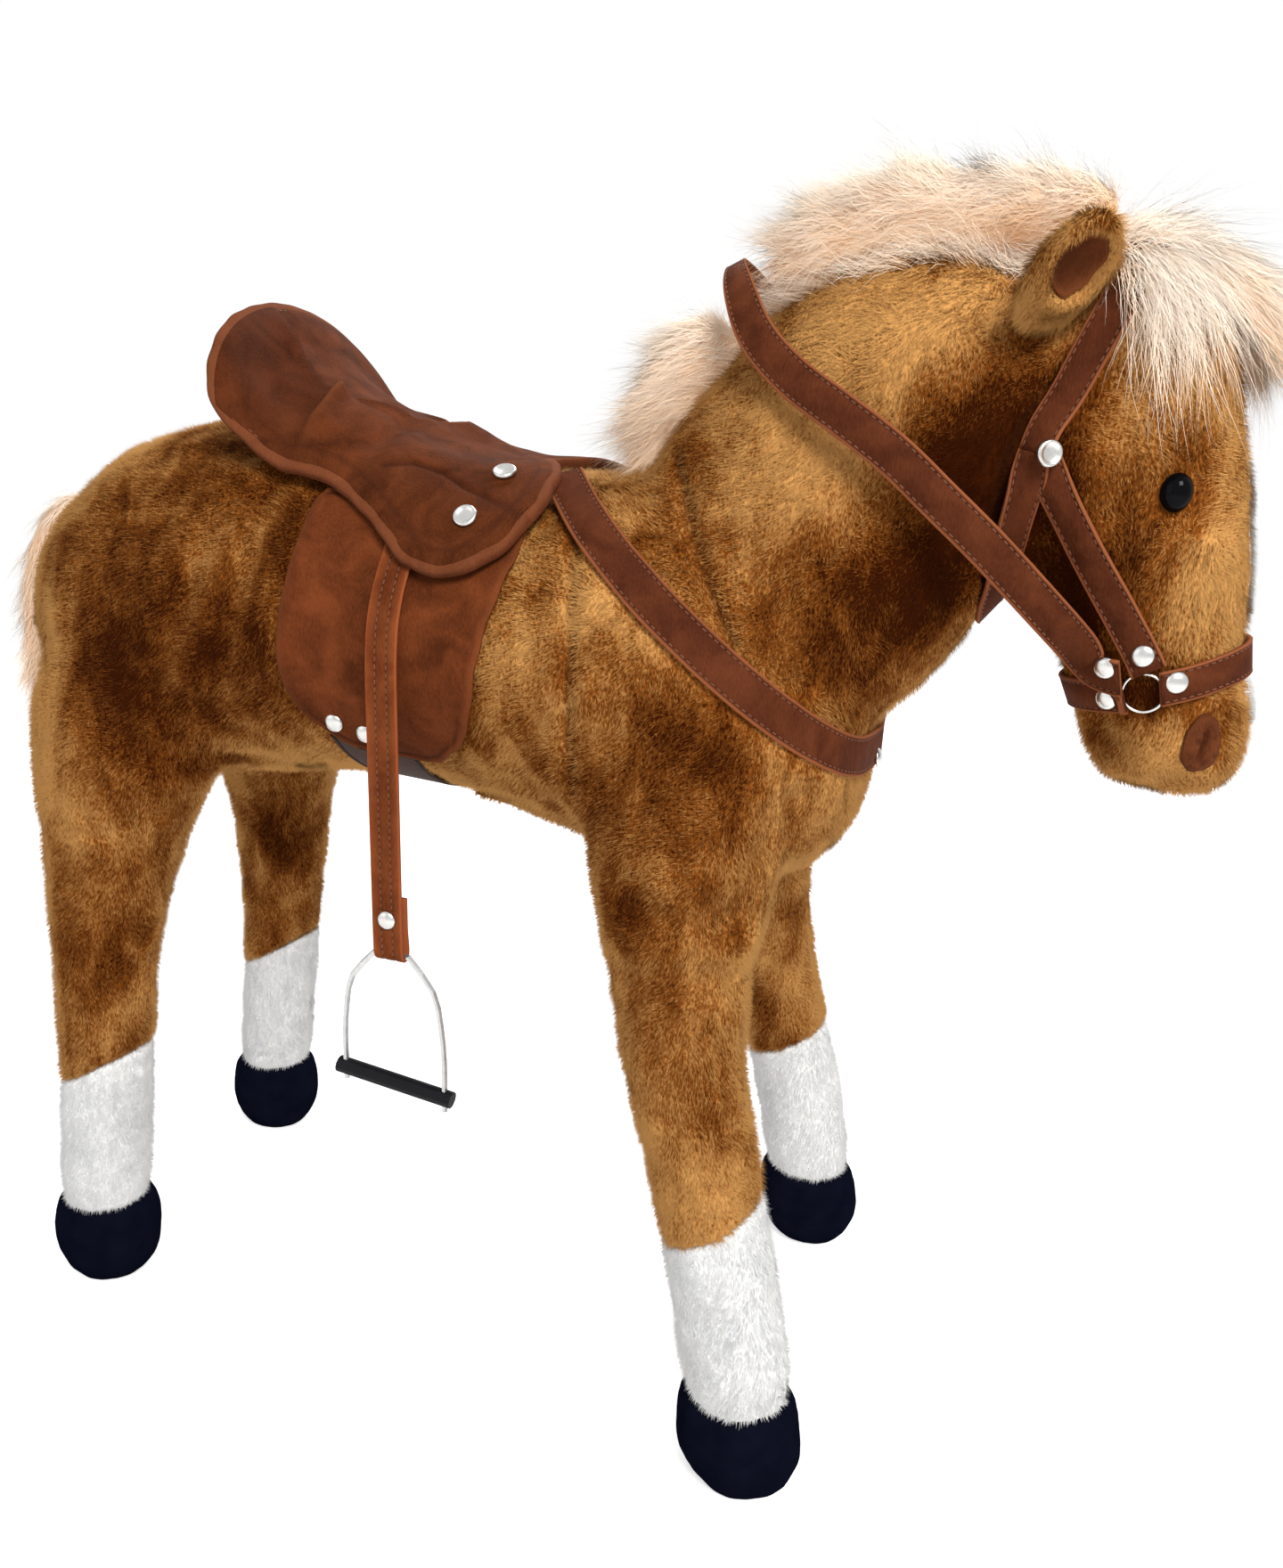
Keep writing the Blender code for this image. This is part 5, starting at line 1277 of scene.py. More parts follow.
def make_seat():
    """The seat with its relief, with a painted highlight on the crest and painted shade in its creases, grooves and
    bowl.
    """
    along, across = np.meshgrid(np.linspace(0, 1, SEAT_ROWS), np.linspace(-1, 1, SEAT_COLUMNS), indexing="ij")
    distance = edge_distance(SEAT_UNDER)
    inner = np.clip(distance / (3 * RIM_REACH), 0, 1)
    swell = np.sqrt(1 - (1 - inner) ** 2)
    wrinkle = np.array([noise.noise(Vector(spot) / WRINKLE_SIZE) for spot in SEAT_UNDER.reshape(-1, 3)])
    fold, fold_shade_line, bowl_shade = fold_relief(SEAT_UNDER)
    crest, crest_shade_line, crest_highlight = crest_relief(SEAT_UNDER)
    wing = bell(wing_distance(SEAT_UNDER), GROOVE_WIDTH)
    relief = seat_relief(along, across) + crest + fold - WING_GROOVE_DEPTH * wing
    height = RIM_THICKNESS + (SEAT_THICKNESS - RIM_THICKNESS) * swell + relief * inner
    height = np.maximum(height + wrinkle.reshape(height.shape) * WRINKLE_HEIGHT * inner, RIM_THICKNESS * 0.3)
    top = SEAT_UNDER + SEAT_OUT * height[..., None]
    # Painted shade: a line inside the rim, the bowl's near half, the fold and crest lines and the wing stitch lines.
    groove = bell(distance - RIM_REACH, GROOVE_WIDTH) * 0.6
    dish = DISH_SHADE * bowl_shade * (0.75 + 0.25 * np.cos(across * math.pi))
    dark = np.maximum.reduce([groove, dish, fold_shade_line, crest_shade_line * 0.8, wing])
    # The edge mark of the seat is the painted highlight along the crest.
    marks = {"edge": crest_highlight, "groove": dark}
    made = piece_from(
        "saddle_seat_cover", slab_mesh("saddle_seat_cover", SEAT_UNDER, top, marks),
        SADDLE_SUEDE, "horse", ["saddle_seat"],
    )
    return made


seat = make_seat()
print("seat points:", len(seat.data.vertices))

# %% [markdown]
# A paler binding is folded over the seat's rim: a flattened tube with a stitched inner border. A curve bevel
# would twist at the corners, so the section is turned to the seat's own outward direction at every step.

# %% Saddle binding
BINDING_WIDTH = 0.0076
BINDING_HEIGHT = 0.0070
BINDING_SIDES = 14


def rim_line(spots, out, thickness):
    """The rim of a grid half way up its thickness, evened, with its outward directions."""
    line, facing = round_rim(spots + out * thickness / 2), round_rim(out)
    line, facing = np.concatenate([line, line[:1]]), np.concatenate([facing, facing[:1]])
    line, facing = evened(line, facing, step=0.0028, rounds=0)
    line, facing = line[:-1], facing[:-1]
    for _ in range(14):
        line = line * 0.5 + (np.roll(line, 1, axis=0) + np.roll(line, -1, axis=0)) * 0.25
        facing = unit(facing * 0.5 + (np.roll(facing, 1, axis=0) + np.roll(facing, -1, axis=0)) * 0.25)
    return line, facing


def make_binding(name, line, facing, width, height, finish):
    """A soft flattened tube round a closed line. It returns the directions across it and out of it."""
    along = unit(np.roll(line, -1, axis=0) - np.roll(line, 1, axis=0))
    across = unit(np.cross(along, facing))
    out = unit(np.cross(across, along))
    angles = np.arange(BINDING_SIDES) * 2 * math.pi / BINDING_SIDES
    flat = np.sign(np.cos(angles)) * np.abs(np.cos(angles)) ** 0.7
    tall = np.sign(np.sin(angles)) * np.abs(np.sin(angles)) ** 0.8
    pucker = 1 + 0.07 * np.sin(np.arange(len(line)) * 0.9) + 0.05 * np.sin(np.arange(len(line)) * 0.37)
    points = line[:, None] + across[:, None] * (flat * width / 2)[None, :, None] * pucker[:, None, None]
    points = points + out[:, None] * (tall * height / 2)[None, :, None]
    faces = grid_faces(len(line), BINDING_SIDES, round_across=True, round_along=True)
    mesh = mesh_from(name, points.reshape(-1, 3), faces)
    marked(mesh, "edge", np.tile(np.abs(tall) * 0.5, len(line)))
    marked(mesh, "groove", np.zeros(len(line) * BINDING_SIDES))
    turned_out(mesh)
    piece_from(name, mesh, finish, "horse")
    return across, out


RIM, RIM_OUT = rim_line(SEAT_UNDER, SEAT_OUT, RIM_THICKNESS)
rim_across, rim_up = make_binding("saddle_binding", RIM, RIM_OUT, BINDING_WIDTH, BINDING_HEIGHT, BINDING_SUEDE)
inward = np.sign(((RIM.mean(axis=0) - RIM) * rim_across).sum(axis=1))[:, None]
stitch_line = RIM + rim_across * inward * BINDING_WIDTH * 0.40 + rim_up * BINDING_HEIGHT * 0.40
make_stitches("binding_stitches", [(stitch_line, rim_up)], "horse")
print("binding length", round(length_of(RIM), 3))

# %% [markdown]
# A lower flap hangs on each side between the girth and the leather. Its outline is a table of rows: how far
# down, and where the back and front edges are. The flap has a rolled, stitched edge and lies on the coat.

# %% Lower flaps
FLAP_TOP = Vector((-0.0411, 0.0, 0.5546))
FLAP_LENGTH = 0.150
FLAP_WIDTH = 0.126
FLAP_LIFT = 0.0039
FLAP_THICKNESS = 0.0030
FLAP_ROLL = 0.0042
FLAP_GROOVE = 0.0011
# Row: drop, back edge, front edge
FLAP_SHARES = (
    (0.11, -0.41, 0.47), (0.13, -0.42, 0.49), (0.16, -0.43, 0.53), (0.30, -0.45, 0.51), (0.53, -0.50, 0.46),
    (0.73, -0.51, 0.41), (0.87, -0.44, 0.35), (0.96, -0.27, 0.25), (1.00, -0.12, 0.13),
)
FLAP_COLUMNS = 41


def flap_grid(side):
    """The flap's underside, laid on the coat, with its outward directions."""
    rows = smooth_line(np.array(FLAP_SHARES), 6)
    spots = np.empty((len(rows), FLAP_COLUMNS, 3))
    for place, (drop, back, front) in enumerate(rows):
        for column, share in enumerate(np.linspace(0, 1, FLAP_COLUMNS)):
            forward = (back + (front - back) * share) * FLAP_WIDTH
            aim = FLAP_TOP + Vector((forward, side, -drop * FLAP_LENGTH))
            spots[place, column] = COAT_TREE.ray_cast(aim, Vector((0, -side, 0)))[0]
    depth = spots[..., 1]
    for _ in range(10):
        depth[1:-1, 1:-1] = (depth[:-2, 1:-1] + depth[2:, 1:-1] + depth[1:-1, :-2] + depth[1:-1, 2:]) / 4
    out = grid_normals(spots)
    out *= np.sign(out[..., 1] * side)[..., None]
    return spots + out * FLAP_LIFT, out


def make_flap(side_word, side):
    """One lower flap. It returns the piece, the grid of its top and the outward directions there."""
    under, out = flap_grid(side)
    distance = edge_distance(under)
    roll = bell(distance - FLAP_ROLL * 0.45, FLAP_ROLL * 0.45)
    # The groove behind the rolled edge is sunk, and its mark darkens it with painted shade.
    groove = bell(distance - FLAP_ROLL, FLAP_GROOVE)
    lip = np.clip(distance / 0.0012, 0.35, 1)
    height = FLAP_THICKNESS * (0.82 * lip + 0.30 * roll - 0.22 * groove)
    top = under + out * height[..., None]
    edge = bell(distance, FLAP_ROLL * 0.7) * 0.6
    name = "saddle_flap_cover_" + side_word
    mesh = slab_mesh(name, under, top, {"edge": edge, "groove": groove})
    made = piece_from(name, mesh, FLAP_SUEDE, "horse", ["saddle_flap_" + side_word])
    return made, top, out


def inset_rim(top, out, inset):
    """A line a little way in from the rim of a grid, towards its middle, with its outward directions."""
    centre = top.reshape(-1, 3).mean(axis=0)
    line, facing = rim_line(top, out, 0.0)
    inward = unit(centre - line)
    inward -= facing * (inward * facing).sum(axis=1)[:, None]
    return line + unit(inward) * inset, facing


FLAP_TREES = {}
for side_word, side in SIDES:
    flap, flap_top, flap_out = make_flap(side_word, side)
    line, facing = inset_rim(flap_top, flap_out, FLAP_ROLL)
    make_stitches("flap_stitches_" + side_word, [(line, facing)], "horse")
    FLAP_TREES[side] = tree_of(flap.data)
print("flap points:", len(flap.data.vertices))

# %% [markdown]
# A stirrup leather comes down from under the seat, passes round the iron's bar and is folded back and
# riveted. Seen from its edge it is a long hairpin, so the route of the strap tool is that hairpin.

# %% Stirrup leathers
LEATHER_WIDTH = 0.018
LEATHER_LAYER = 0.0019
LEATHER_FOLD = 0.034
LEATHER_PRESSED = 0.070
EYE_REACH = 0.0050


def leather_route(low, high, side):
    """From the top of the front layer, down, round the bar and up behind to the folded end."""
    middle = (low.x + high.x) / 2
    outer = low.y if side < 0 else high.y
    bar_height = low.z + EYE_REACH
    centre = outer - side * EYE_REACH
    front = []
    for height in np.linspace(high.z, bar_height + 0.014, 60):
        pressed = max(0.0, (height - high.z) / LEATHER_PRESSED + 1)
        pressed = pressed * pressed * (3 - 2 * pressed)
        flap = side_hit(FLAP_TREES[side], middle, height, side)[0]
        free = outer - side * LEATHER_LAYER * 1.05
        close = flap.y + side * 0.0004 if flap else free
        front.append((free + (close - free) * pressed, height))
    radius = EYE_REACH - LEATHER_LAYER * 1.05
    angles = np.linspace(0.12 * math.pi, -1.12 * math.pi, 18)
    turn = [(centre + side * math.cos(angle) * radius, bar_height + math.sin(angle) * radius) for angle in angles]
    back = [(outer - side * LEATHER_LAYER * 3.2, bar_height + rise) for rise in np.linspace(0.014, LEATHER_FOLD, 8)]
    route = np.array([(middle, depth, height) for depth, height in front + turn + back])
    line, _ = evened(route, np.zeros_like(route) + (0, side, 0), step=0.0022, rounds=5)
    along = unit(np.gradient(line, axis=0))
    out = unit(np.cross(along, np.array([side * 1.0, 0, 0])))
    if out[2, 1] * side < 0:
        out = -out
    return line, out


for side_word, side in SIDES:
    node = "stirrup_leather_" + side_word
    line, out = leather_route(*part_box(node), side)
    make_strap(
        "sewn_leather_" + side_word, line, out, LEATHER_WIDTH, LEATHER_LAYER, LEATHER_SUEDE,
        node + "_body", [node], (-0.36, 0.36),
    )

# %% [markdown]
# Caps hold the straps together. A cap rivet is a turned shape: a profile with a rolled rim and a shallow
# dish, spun round its own axis. The caps with a node keep their place from the frame; the smaller ones sit
# where the straps cross.

# %% Cap rivets
# Share of the radius and share of the height, from the middle outwards
CAP_SHARES = (
    (0.0, 0.55), (0.45, 0.60), (0.62, 0.72), (0.76, 0.95), (0.88, 1.0), (0.97, 0.80), (1.0, 0.40), (0.98, 0.0),
)
CAP_TURNS = 28


def make_cap(name, place, out, radius, height, body="horse", finish=NICKEL, replaced=(), profile=CAP_SHARES):
    """A turned shape from a profile, standing at a place and facing outwards."""
    out = Vector(out).normalized()
    turn = Vector((0, 0, 1)).rotation_difference(out).to_matrix()
    angles = np.arange(CAP_TURNS) * 2 * math.pi / CAP_TURNS
    rings = [
        [(math.cos(a) * share * radius, math.sin(a) * share * radius, up * height) for a in angles]
        for share, up in profile[1:]
    ]
    shape = bmesh.new()
    loops = [[shape.verts.new(Vector(place) + turn @ Vector(point)) for point in ring] for ring in rings]
    top = shape.verts.new(Vector(place) + turn @ Vector((0, 0, profile[0][1] * height)))
    for corner in range(CAP_TURNS):
        after = (corner + 1) % CAP_TURNS
        shape.faces.new((loops[0][corner], loops[0][after], top))
        for inner, outer in zip(loops, loops[1:]):
            shape.faces.new((inner[corner], outer[corner], outer[after], inner[after]))
    shape.faces.new(loops[-1])
    bmesh.ops.recalc_face_normals(shape, faces=shape.faces)
    mesh = bpy.data.meshes.new(name)
    shape.to_mesh(mesh)
    shape.free()
    return piece_from(name, mesh, finish, body, replaced)


def cap_axis(node):
    """Foot and outward direction of a plain cap: its points spread least along its own axis."""
    points, _, _ = arrays_of(frame["nodes"][node].data)
    centre = points.mean(axis=0)
    axis = np.linalg.svd(points - centre, full_matrices=False)[2][2]
    side = math.copysign(1, centre[1])
    axis *= math.copysign(1, axis @ np.array([0, side, 0.2]))
    return centre + axis * ((points - centre) @ axis).min(), axis


CAP_RADIUS = 0.0064
CAP_HEIGHT = 0.0026
SMALL_CAP_RADIUS = 0.0056
DOMED_CAP = ((0.0, 1.0), (0.3, 0.97), (0.6, 0.84), (0.82, 0.60), (0.95, 0.32), (1.0, 0.0))
# Name, forward, up, body
SMALL_CAPS = (
    ("rein_end", 0.3116, 0.4771, "horse"), ("cheek_end", 0.3272, 0.4846, "horse"),
    ("noseband_end", 0.3440, 0.4730, "horse"), ("chin_end", 0.3155, 0.4600, "horse"),
    ("flap_rear", -0.0786, 0.4193, "horse"), ("flap_front", -0.0610, 0.4145, "horse"),
    ("leather", -0.0377, 0.3174, "stirrup_leather_{}_body"),
)
BREAST_STUD = (0.2001, 0.0, 0.4068)


def tack_tree(words):
    """One search tree round every piece whose name starts with one of the words."""
    shape = bmesh.new()
    for made in bpy.data.objects:
        if made.name.startswith(words) and not made.name.endswith("_stitches"):
            shape.from_mesh(made.data)
    tree = BVHTree.FromBMesh(shape)
    shape.free()
    return tree


STRAP_TREE = tack_tree(("sewn_", "saddle_seat_cover", "saddle_flap_cover"))


def set_cap(name, place, axis, radius, body="horse", replaced=(), profile=CAP_SHARES):
    """A cap set down on the strap under this place."""
    axis = Vector(axis).normalized()
    hit, normal, *_ = STRAP_TREE.ray_cast(Vector(place) + axis * 0.03, -axis)
    normal = normal if normal.dot(axis) > 0.5 else axis
    return make_cap("cap_" + name, hit, normal + axis, radius, CAP_HEIGHT, body, NICKEL, replaced, profile)


for node in sorted(frame["nodes"]):
    if "rivet" in node:
        foot, axis = cap_axis(node)
        set_cap(node, foot, axis, CAP_RADIUS, replaced=[node])
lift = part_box("stirrup_leather_left")[0].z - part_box("stirrup_leather_right")[0].z
for title, forward, up, body in SMALL_CAPS:
    for side_word, side in SIDES:
        height = up + lift if title == "leather" and side > 0 else up
        hit = side_hit(STRAP_TREE, forward, height, side)[0]
        body_here = body.format(side_word)
        set_cap(f"{title}_{side_word}", hit, (0, side, 0), SMALL_CAP_RADIUS, body_here, profile=DOMED_CAP)
hit = STRAP_TREE.ray_cast(Vector((0.4, 0, BREAST_STUD[2])), Vector((-1, 0, 0)))[0]
set_cap("breast", hit, (1, 0, 0.2), SMALL_CAP_RADIUS, profile=DOMED_CAP)
print("caps set:", 2 * len(SMALL_CAPS) + 7)

# %% [markdown]
# The ring that joins the four strap ends is thin wire, and most of it hides under the straps. A circle is
# turned to the plain ring's own plane, and a small round section is carried round it.

# %% Halter rings
RING_WIRE = 0.0007
RING_TURNS = 48


def make_ring(node):
    points, _, _ = arrays_of(frame["nodes"][node].data)
    centre = points.mean(axis=0)
    first, second, axis = np.linalg.svd(points - centre, full_matrices=False)[2]
    radius = np.linalg.norm(points - centre, axis=1).max() - 2 * RING_WIRE
    angles = np.arange(RING_TURNS) * 2 * math.pi / RING_TURNS
    away = first * np.cos(angles)[:, None] + second * np.sin(angles)[:, None]
    turns = np.arange(8) * math.pi / 4
    spread = away[:, None] * np.cos(turns)[None, :, None] + axis * np.sin(turns)[None, :, None]
    rings = centre + away[:, None] * radius + spread * RING_WIRE
    faces = grid_faces(RING_TURNS, 8, round_across=True, round_along=True)
    mesh = mesh_from("wire_" + node, rings.reshape(-1, 3), faces)
    return piece_from("wire_" + node, mesh, NICKEL, "horse", [node])


for side_word in ("right", "left"):
    print(make_ring("halter_ring_" + side_word).name)

# %% [markdown]
# The eyes are turned plastic domes set in the plush, in the place of the frame's squashed balls.

# %% Eyes
EYE_RADIUS = 0.0080
EYE_BULGE = 0.0054
EYE_PROFILE = tuple(
    (math.sin(step * math.pi / 20), math.cos(step * math.pi / 20)) for step in range(11)
) + ((1.06, -0.05), (1.04, -0.35), (0.98, -0.5))


EYE_NARROWED = 0.14
EYE_HEIGHTENED = 0.04


def squeeze_eye(mesh, place, out):
    """The eye is a little taller than wide."""
    points = arrays_of(mesh)[0]
    level = unit(np.cross(out, [0.0, 0.0, 1.0]))
    upright = np.cross(level, out)
    away = points - place
    narrower = level * (EYE_NARROWED * (away @ level))[:, None]
    set_points(mesh, points - narrower + upright * (EYE_HEIGHTENED * (away @ upright))[:, None])


for side_word, side in SIDES:
    low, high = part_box("eye_" + side_word)
    place = (low + high) / 2
    _, out, *_ = COAT_TREE.find_nearest(place)
    eye = make_cap(
        "glossy_eye_" + side_word, place, out, EYE_RADIUS, EYE_BULGE, "horse", EYE_GLOSS, ["eye_" + side_word],
        EYE_PROFILE,
    )
    squeeze_eye(eye.data, np.array(place), np.array(out))
print("eye at", [round(value, 3) for value in place])

# %% [markdown]
# Nostrils and ear linings are oval patches of suede. Each is a round grid laid over its plain node by rays,
# then shaped: the nostril has a crease down its middle, the ear lining is hollow like a shell.

# %% Oval patches: nostrils, ear linings, blaze and snip
PATCH_RINGS = 12
PATCH_SPOKES = 40
PATCH_PROBE = 0.03
PATCH_THICKNESS = 0.0012


def patch_axes(node):
    """Middle, long axis, short axis and outward direction of a plain oval patch."""
    points, _, _ = arrays_of(frame["nodes"][node].data)
    centre = points.mean(axis=0)
    long_way, short_way, out = np.linalg.svd(points - centre, full_matrices=False)[2]
    body_middle = np.array([centre[0] - 0.03, 0.0, centre[2] - 0.01])
    out = out * math.copysign(1, out @ (centre - body_middle))
    reach = [np.abs((points - centre) @ axis).max() for axis in (long_way, short_way)]
    return centre, long_way, short_way, out, reach


def make_patch(name, node, finish, lift, shape_of, tree, grow=1.0, moved=(0, 0, 0)):
    """A round grid over the node's oval, laid on a surface and raised by a function of its place."""
    centre, long_way, short_way, out, (tall, wide) = patch_axes(node)
    centre = centre + moved
    spots, edge, crease = [], [], []
    for ring in range(PATCH_RINGS + 1):
        for spoke in range(PATCH_SPOKES):
            share, angle = ring / PATCH_RINGS, 2 * math.pi * spoke / PATCH_SPOKES
            uneven = 1 + 0.03 * math.sin(3 * angle + 1.0) + 0.02 * math.sin(7 * angle)
            up, aside = share * math.cos(angle) * uneven, share * math.sin(angle) * uneven
            aim = Vector(centre + long_way * up * tall * grow + short_way * aside * wide * grow)
            hit = tree.ray_cast(aim + Vector(out) * PATCH_PROBE, -Vector(out))[0] or aim
            rise, groove = shape_of(up, aside, share)
            spots.append(hit + Vector(out) * (lift + rise))
            edge.append(share ** 6)
            crease.append(groove)
    faces = grid_faces(PATCH_RINGS + 1, PATCH_SPOKES, round_across=True)
    mesh = mesh_from(name, np.array(spots), faces)
    marked(mesh, "edge", np.array(edge) * 0.5)
    marked(mesh, "groove", crease)
    turned_out(mesh, merge=1e-6)
    made = piece_from(name, mesh, finish, "horse", [node])
    made.modifiers.new("thickness", "SOLIDIFY").thickness = PATCH_THICKNESS


def nostril_shape(up, aside, share):
    """A rounded pad with a bent crease down its middle, wrinkled all over. It returns the rise and the painted
    shade in its crease, in the dents of its wrinkles and round its rim.
    """
    bent = aside + 0.14 * math.sin(up * 2.4)
    crease = math.exp(-((bent / 0.17) ** 2)) * max(0.0, 1 - (up / 0.80) ** 2)
    wrinkle = noise.noise(Vector((up * 4.5, aside * 3.0, 4.0)))
    shade = max(crease, min(1.0, max(0.0, 0.9 * wrinkle + 0.25)), 0.6 * share ** 6)
    return 0.0022 * (1 - share ** 3) - 0.0034 * crease - wrinkle * 0.0012, shade


def lining_shape(up, aside, share):
    """The hollow inside of the ear, with painted shade darkest in its middle."""
    return 0.0008 * (1 - share ** 2), 0.55 * (1 - share)


EAR_HOLLOW = 1.05
EAR_DEPTH = 0.0105
EAR_RIM = 0.0022


def carve_ear(mesh, node):
    """Presses a hollow into the ear's open side, and rolls its rim out a little."""
    centre, long_way, short_way, out, (tall, wide) = patch_axes(node)
    points, normals, _ = arrays_of(mesh)
    up, aside = (points - centre) @ long_way / tall, (points - centre) @ short_way / wide
    share = np.hypot(up, aside) / EAR_HOLLOW
    facing = np.clip(normals @ out * 2.5, 0, 1)
    bowl = EAR_DEPTH * np.clip(1 - share ** 2.5, 0, 1)
    rim = EAR_RIM * bell(share - 1.15, 0.22)
    set_points(mesh, points + out * ((rim - bowl) * facing)[:, None])


def flat_shape(up, aside, share):
    """A patch that lies flat and thins out at its rim."""
    return 0.0006 * (1 - share ** 4), 0.0


for side, ear in zip(("right", "left"), ears):
    carve_ear(ear.data, "ear_lining_" + side)
    make_patch(
        "nostril_patch_" + side, "nostril_" + side, LINING_SUEDE, 0.0016, nostril_shape, COAT_TREE, 1.1
    )
    make_patch(
        "ear_lining_patch_" + side, "ear_lining_" + side, LINING_SUEDE, 0.0010, lining_shape,
        tree_of(ear.data), 0.90,
    )
for node, grow, moved in (("face_blaze", 0.78, (0, 0.004, -0.010)), ("muzzle_snip", 0.72, (0, 0.003, 0.019))):
    make_patch("white_" + node, node, WHITE_GROUND, 0.0006, flat_shape, COAT_TREE, grow, moved)
print("patches made")

# %% [markdown]
# The belly has a closure flap of plush, which opens on its left edge. It rides on its own body, so that it
# swings with its joint. Its ground is a wrapped copy of the plain flap.

# %% Belly flap
belly_flap = make_stuffed(
    "plush_belly_flap", ["belly_flap"], 0.0018, 2, BROWN_GROUND, "belly_flap_body", 0.0004
)
print("belly flap points:", len(belly_flap.data.vertices))

# %% [markdown]
# Long hair is thousands of thin tapered strips, real meshes that can be exported with the toy. All strips of
# a tuft are made at once as arrays: a root, a direction that bends over its length, a curl, and a width that
# runs out to nothing at the tip.

# %% Hair strips
def strip_mesh(name, centres, sides, widths, tint, normals=None):
    """Tapered strips: centres is (strips, points, 3), the last point of each is its tip."""
    count, steps = centres.shape[:2]
    body = centres[:, :-1]
    half = sides[:, None, :] * widths[:, :-1, None] / 2
    left, right = body - half, body + half
    points = np.concatenate([np.stack([left, right], axis=2).reshape(count, -1, 3), centres[:, -1:]], axis=1)
    each = 2 * (steps - 1) + 1
    faces = []
    for step in range(steps - 2):
        a, b, c, d = 2 * step, 2 * step + 1, 2 * step + 3, 2 * step + 2
        faces += [(a, b, c), (a, c, d)]
    faces.append((each - 3, each - 2, each - 1))
    corners = (np.array(faces)[None] + (np.arange(count) * each)[:, None, None]).reshape(-1, 3)
    mesh = mesh_from(name, points.reshape(-1, 3), corners)
    along = np.concatenate([np.repeat(np.linspace(0, 1, steps)[:-1], 2), [1.0]])
    marked(mesh, "along", np.tile(along, count))
    marked(mesh, "tint", np.repeat(tint, each))
    if normals is not None:
        mesh.shade_smooth()
        mesh.normals_split_custom_set_from_vertices(np.repeat(normals, each, axis=0).tolist())
    return mesh


def sown(mesh, count, dice):
    """Places strewn evenly over a mesh, with the surface's direction at each."""
    points, normals, faces = arrays_of(mesh)
    first, second, third = (points[faces[:, corner]] for corner in range(3))
    area = np.linalg.norm(np.cross(second - first, third - first), axis=1)
    chosen = dice.choice(len(faces), count, p=area / area.sum())
    u, v = dice.random(count), dice.random(count)
    over = u + v > 1
    u, v = np.where(over, 1 - u, u), np.where(over, 1 - v, v)
    shares = (1 - u - v, u, v)
    place = sum(points[faces[chosen, corner]] * shares[corner][:, None] for corner in range(3))
    facing = sum(normals[faces[chosen, corner]] * shares[corner][:, None] for corner in range(3))
    return place, unit(facing), faces[chosen]


# Vector noise starts from the clock unless it has a seed, and every run must lay the same strands
NOISE_SEED = 1
noise.seed_set(NOISE_SEED)


def wandering(places, size, seed):
    """A smooth random direction at each place, so that neighbours lie alike."""
    shift = Vector((seed, -seed, seed * 2))
    return np.array([noise.noise_vector(Vector(place) / size + shift) for place in places])


# Thin pale hair passes light on from strand to strand; a little light of its own stands for that
HAIR_GLOW = 0.15


def make_hair_finish():
    made, tree, shader = finish_from(
        "pale_mane_hair", (0.93, 0.80, 0.66), 0.65, Specular_IOR_Level=0.05, Emission_Strength=HAIR_GLOW
    )
    along = read_mark(tree, "along")
    tint = read_mark(tree, "tint")
    root = mixed(tree, tint, (0.76, 0.36, 0.14, 1), (0.94, 0.71, 0.51, 1))
    tip = mixed(tree, tint, (0.93, 0.65, 0.43, 1), (0.98, 0.91, 0.82, 1))
    share = placed(tree, "MapRange", {0: along, 1: 0.10, 2: 0.75}).outputs[0]
    colour = mixed(tree, share, root, tip)
    tree.links.new(colour, shader["Base Color"])
    tree.links.new(colour, shader["Emission Color"])
    tree.links.new(both_sides(tree), shader["Normal"])
    return made


MANE_HAIR = make_hair_finish()
HAIR_STEPS = 8
HAIR_WIDTH = 0.00034
WAVE_HEIGHT = 0.0011


def hair_strips(name, roots, flow, lengths, dice, curl, droop, clump, facing):
    """Strips from roots along their flow: waved, curled, drooping and drawn together into locks."""
    count = len(roots)
    share = np.linspace(0, 1, HAIR_STEPS)[None, :, None]
    reach = lengths[:, None, None] * share
    centres = roots[:, None] + flow[:, None] * reach
    centres = centres + np.array([0, 0, -1]) * droop * reach * share
    twist = wandering(roots, 0.012, 5.0)[:, None] * curl * share ** 1.5 * lengths[:, None, None]
    loose = (dice.random((count, 1, 3)) - 0.5) * curl * 1.3 * share ** 2 * lengths[:, None, None]
    turns = dice.random((count, 1, 1)) * 2 * math.pi + share * math.pi * (2 + 3 * dice.random((count, 1, 1)))
    aside = unit(np.cross(flow, facing))[:, None]
    wave = (aside * np.sin(turns) + facing[:, None] * np.cos(turns)) * WAVE_HEIGHT * share
    locks = roots[dice.choice(count, max(4, count // 40), replace=False)]
    heads = np.array([locks[((locks - root) ** 2).sum(axis=1).argmin()] for root in roots])
    pull = (heads - roots)[:, None] * share ** 1.6 * clump
    centres = centres + twist + loose + wave + pull
    sides = unit(np.cross(flow, facing) + (dice.random((count, 3)) - 0.5) * 0.6)
    widths = HAIR_WIDTH * (1 - share[..., 0] ** 1.5) * (0.7 + 0.6 * dice.random((count, 1)))
    tint = np.clip(0.30 + 0.62 * facing[:, 2] + 0.5 * (dice.random(count) - 0.5), 0, 1)
    return strip_mesh(name, centres, sides, widths, tint, facing)


# %% [markdown]
# The mane grows from a core a little inside the plain crest. Its hair sweeps back and outwards, the forelock
# falls forward over the brow, and the tail hangs down from the dock. Between the tufts more hair is sown
# straight on the coat: over the poll, where it hides the headpiece, and down along the near edge of the mane.

# %% Mane, forelock and tail
HAIR_INSET = 0.006
CLUMPING = 0.25
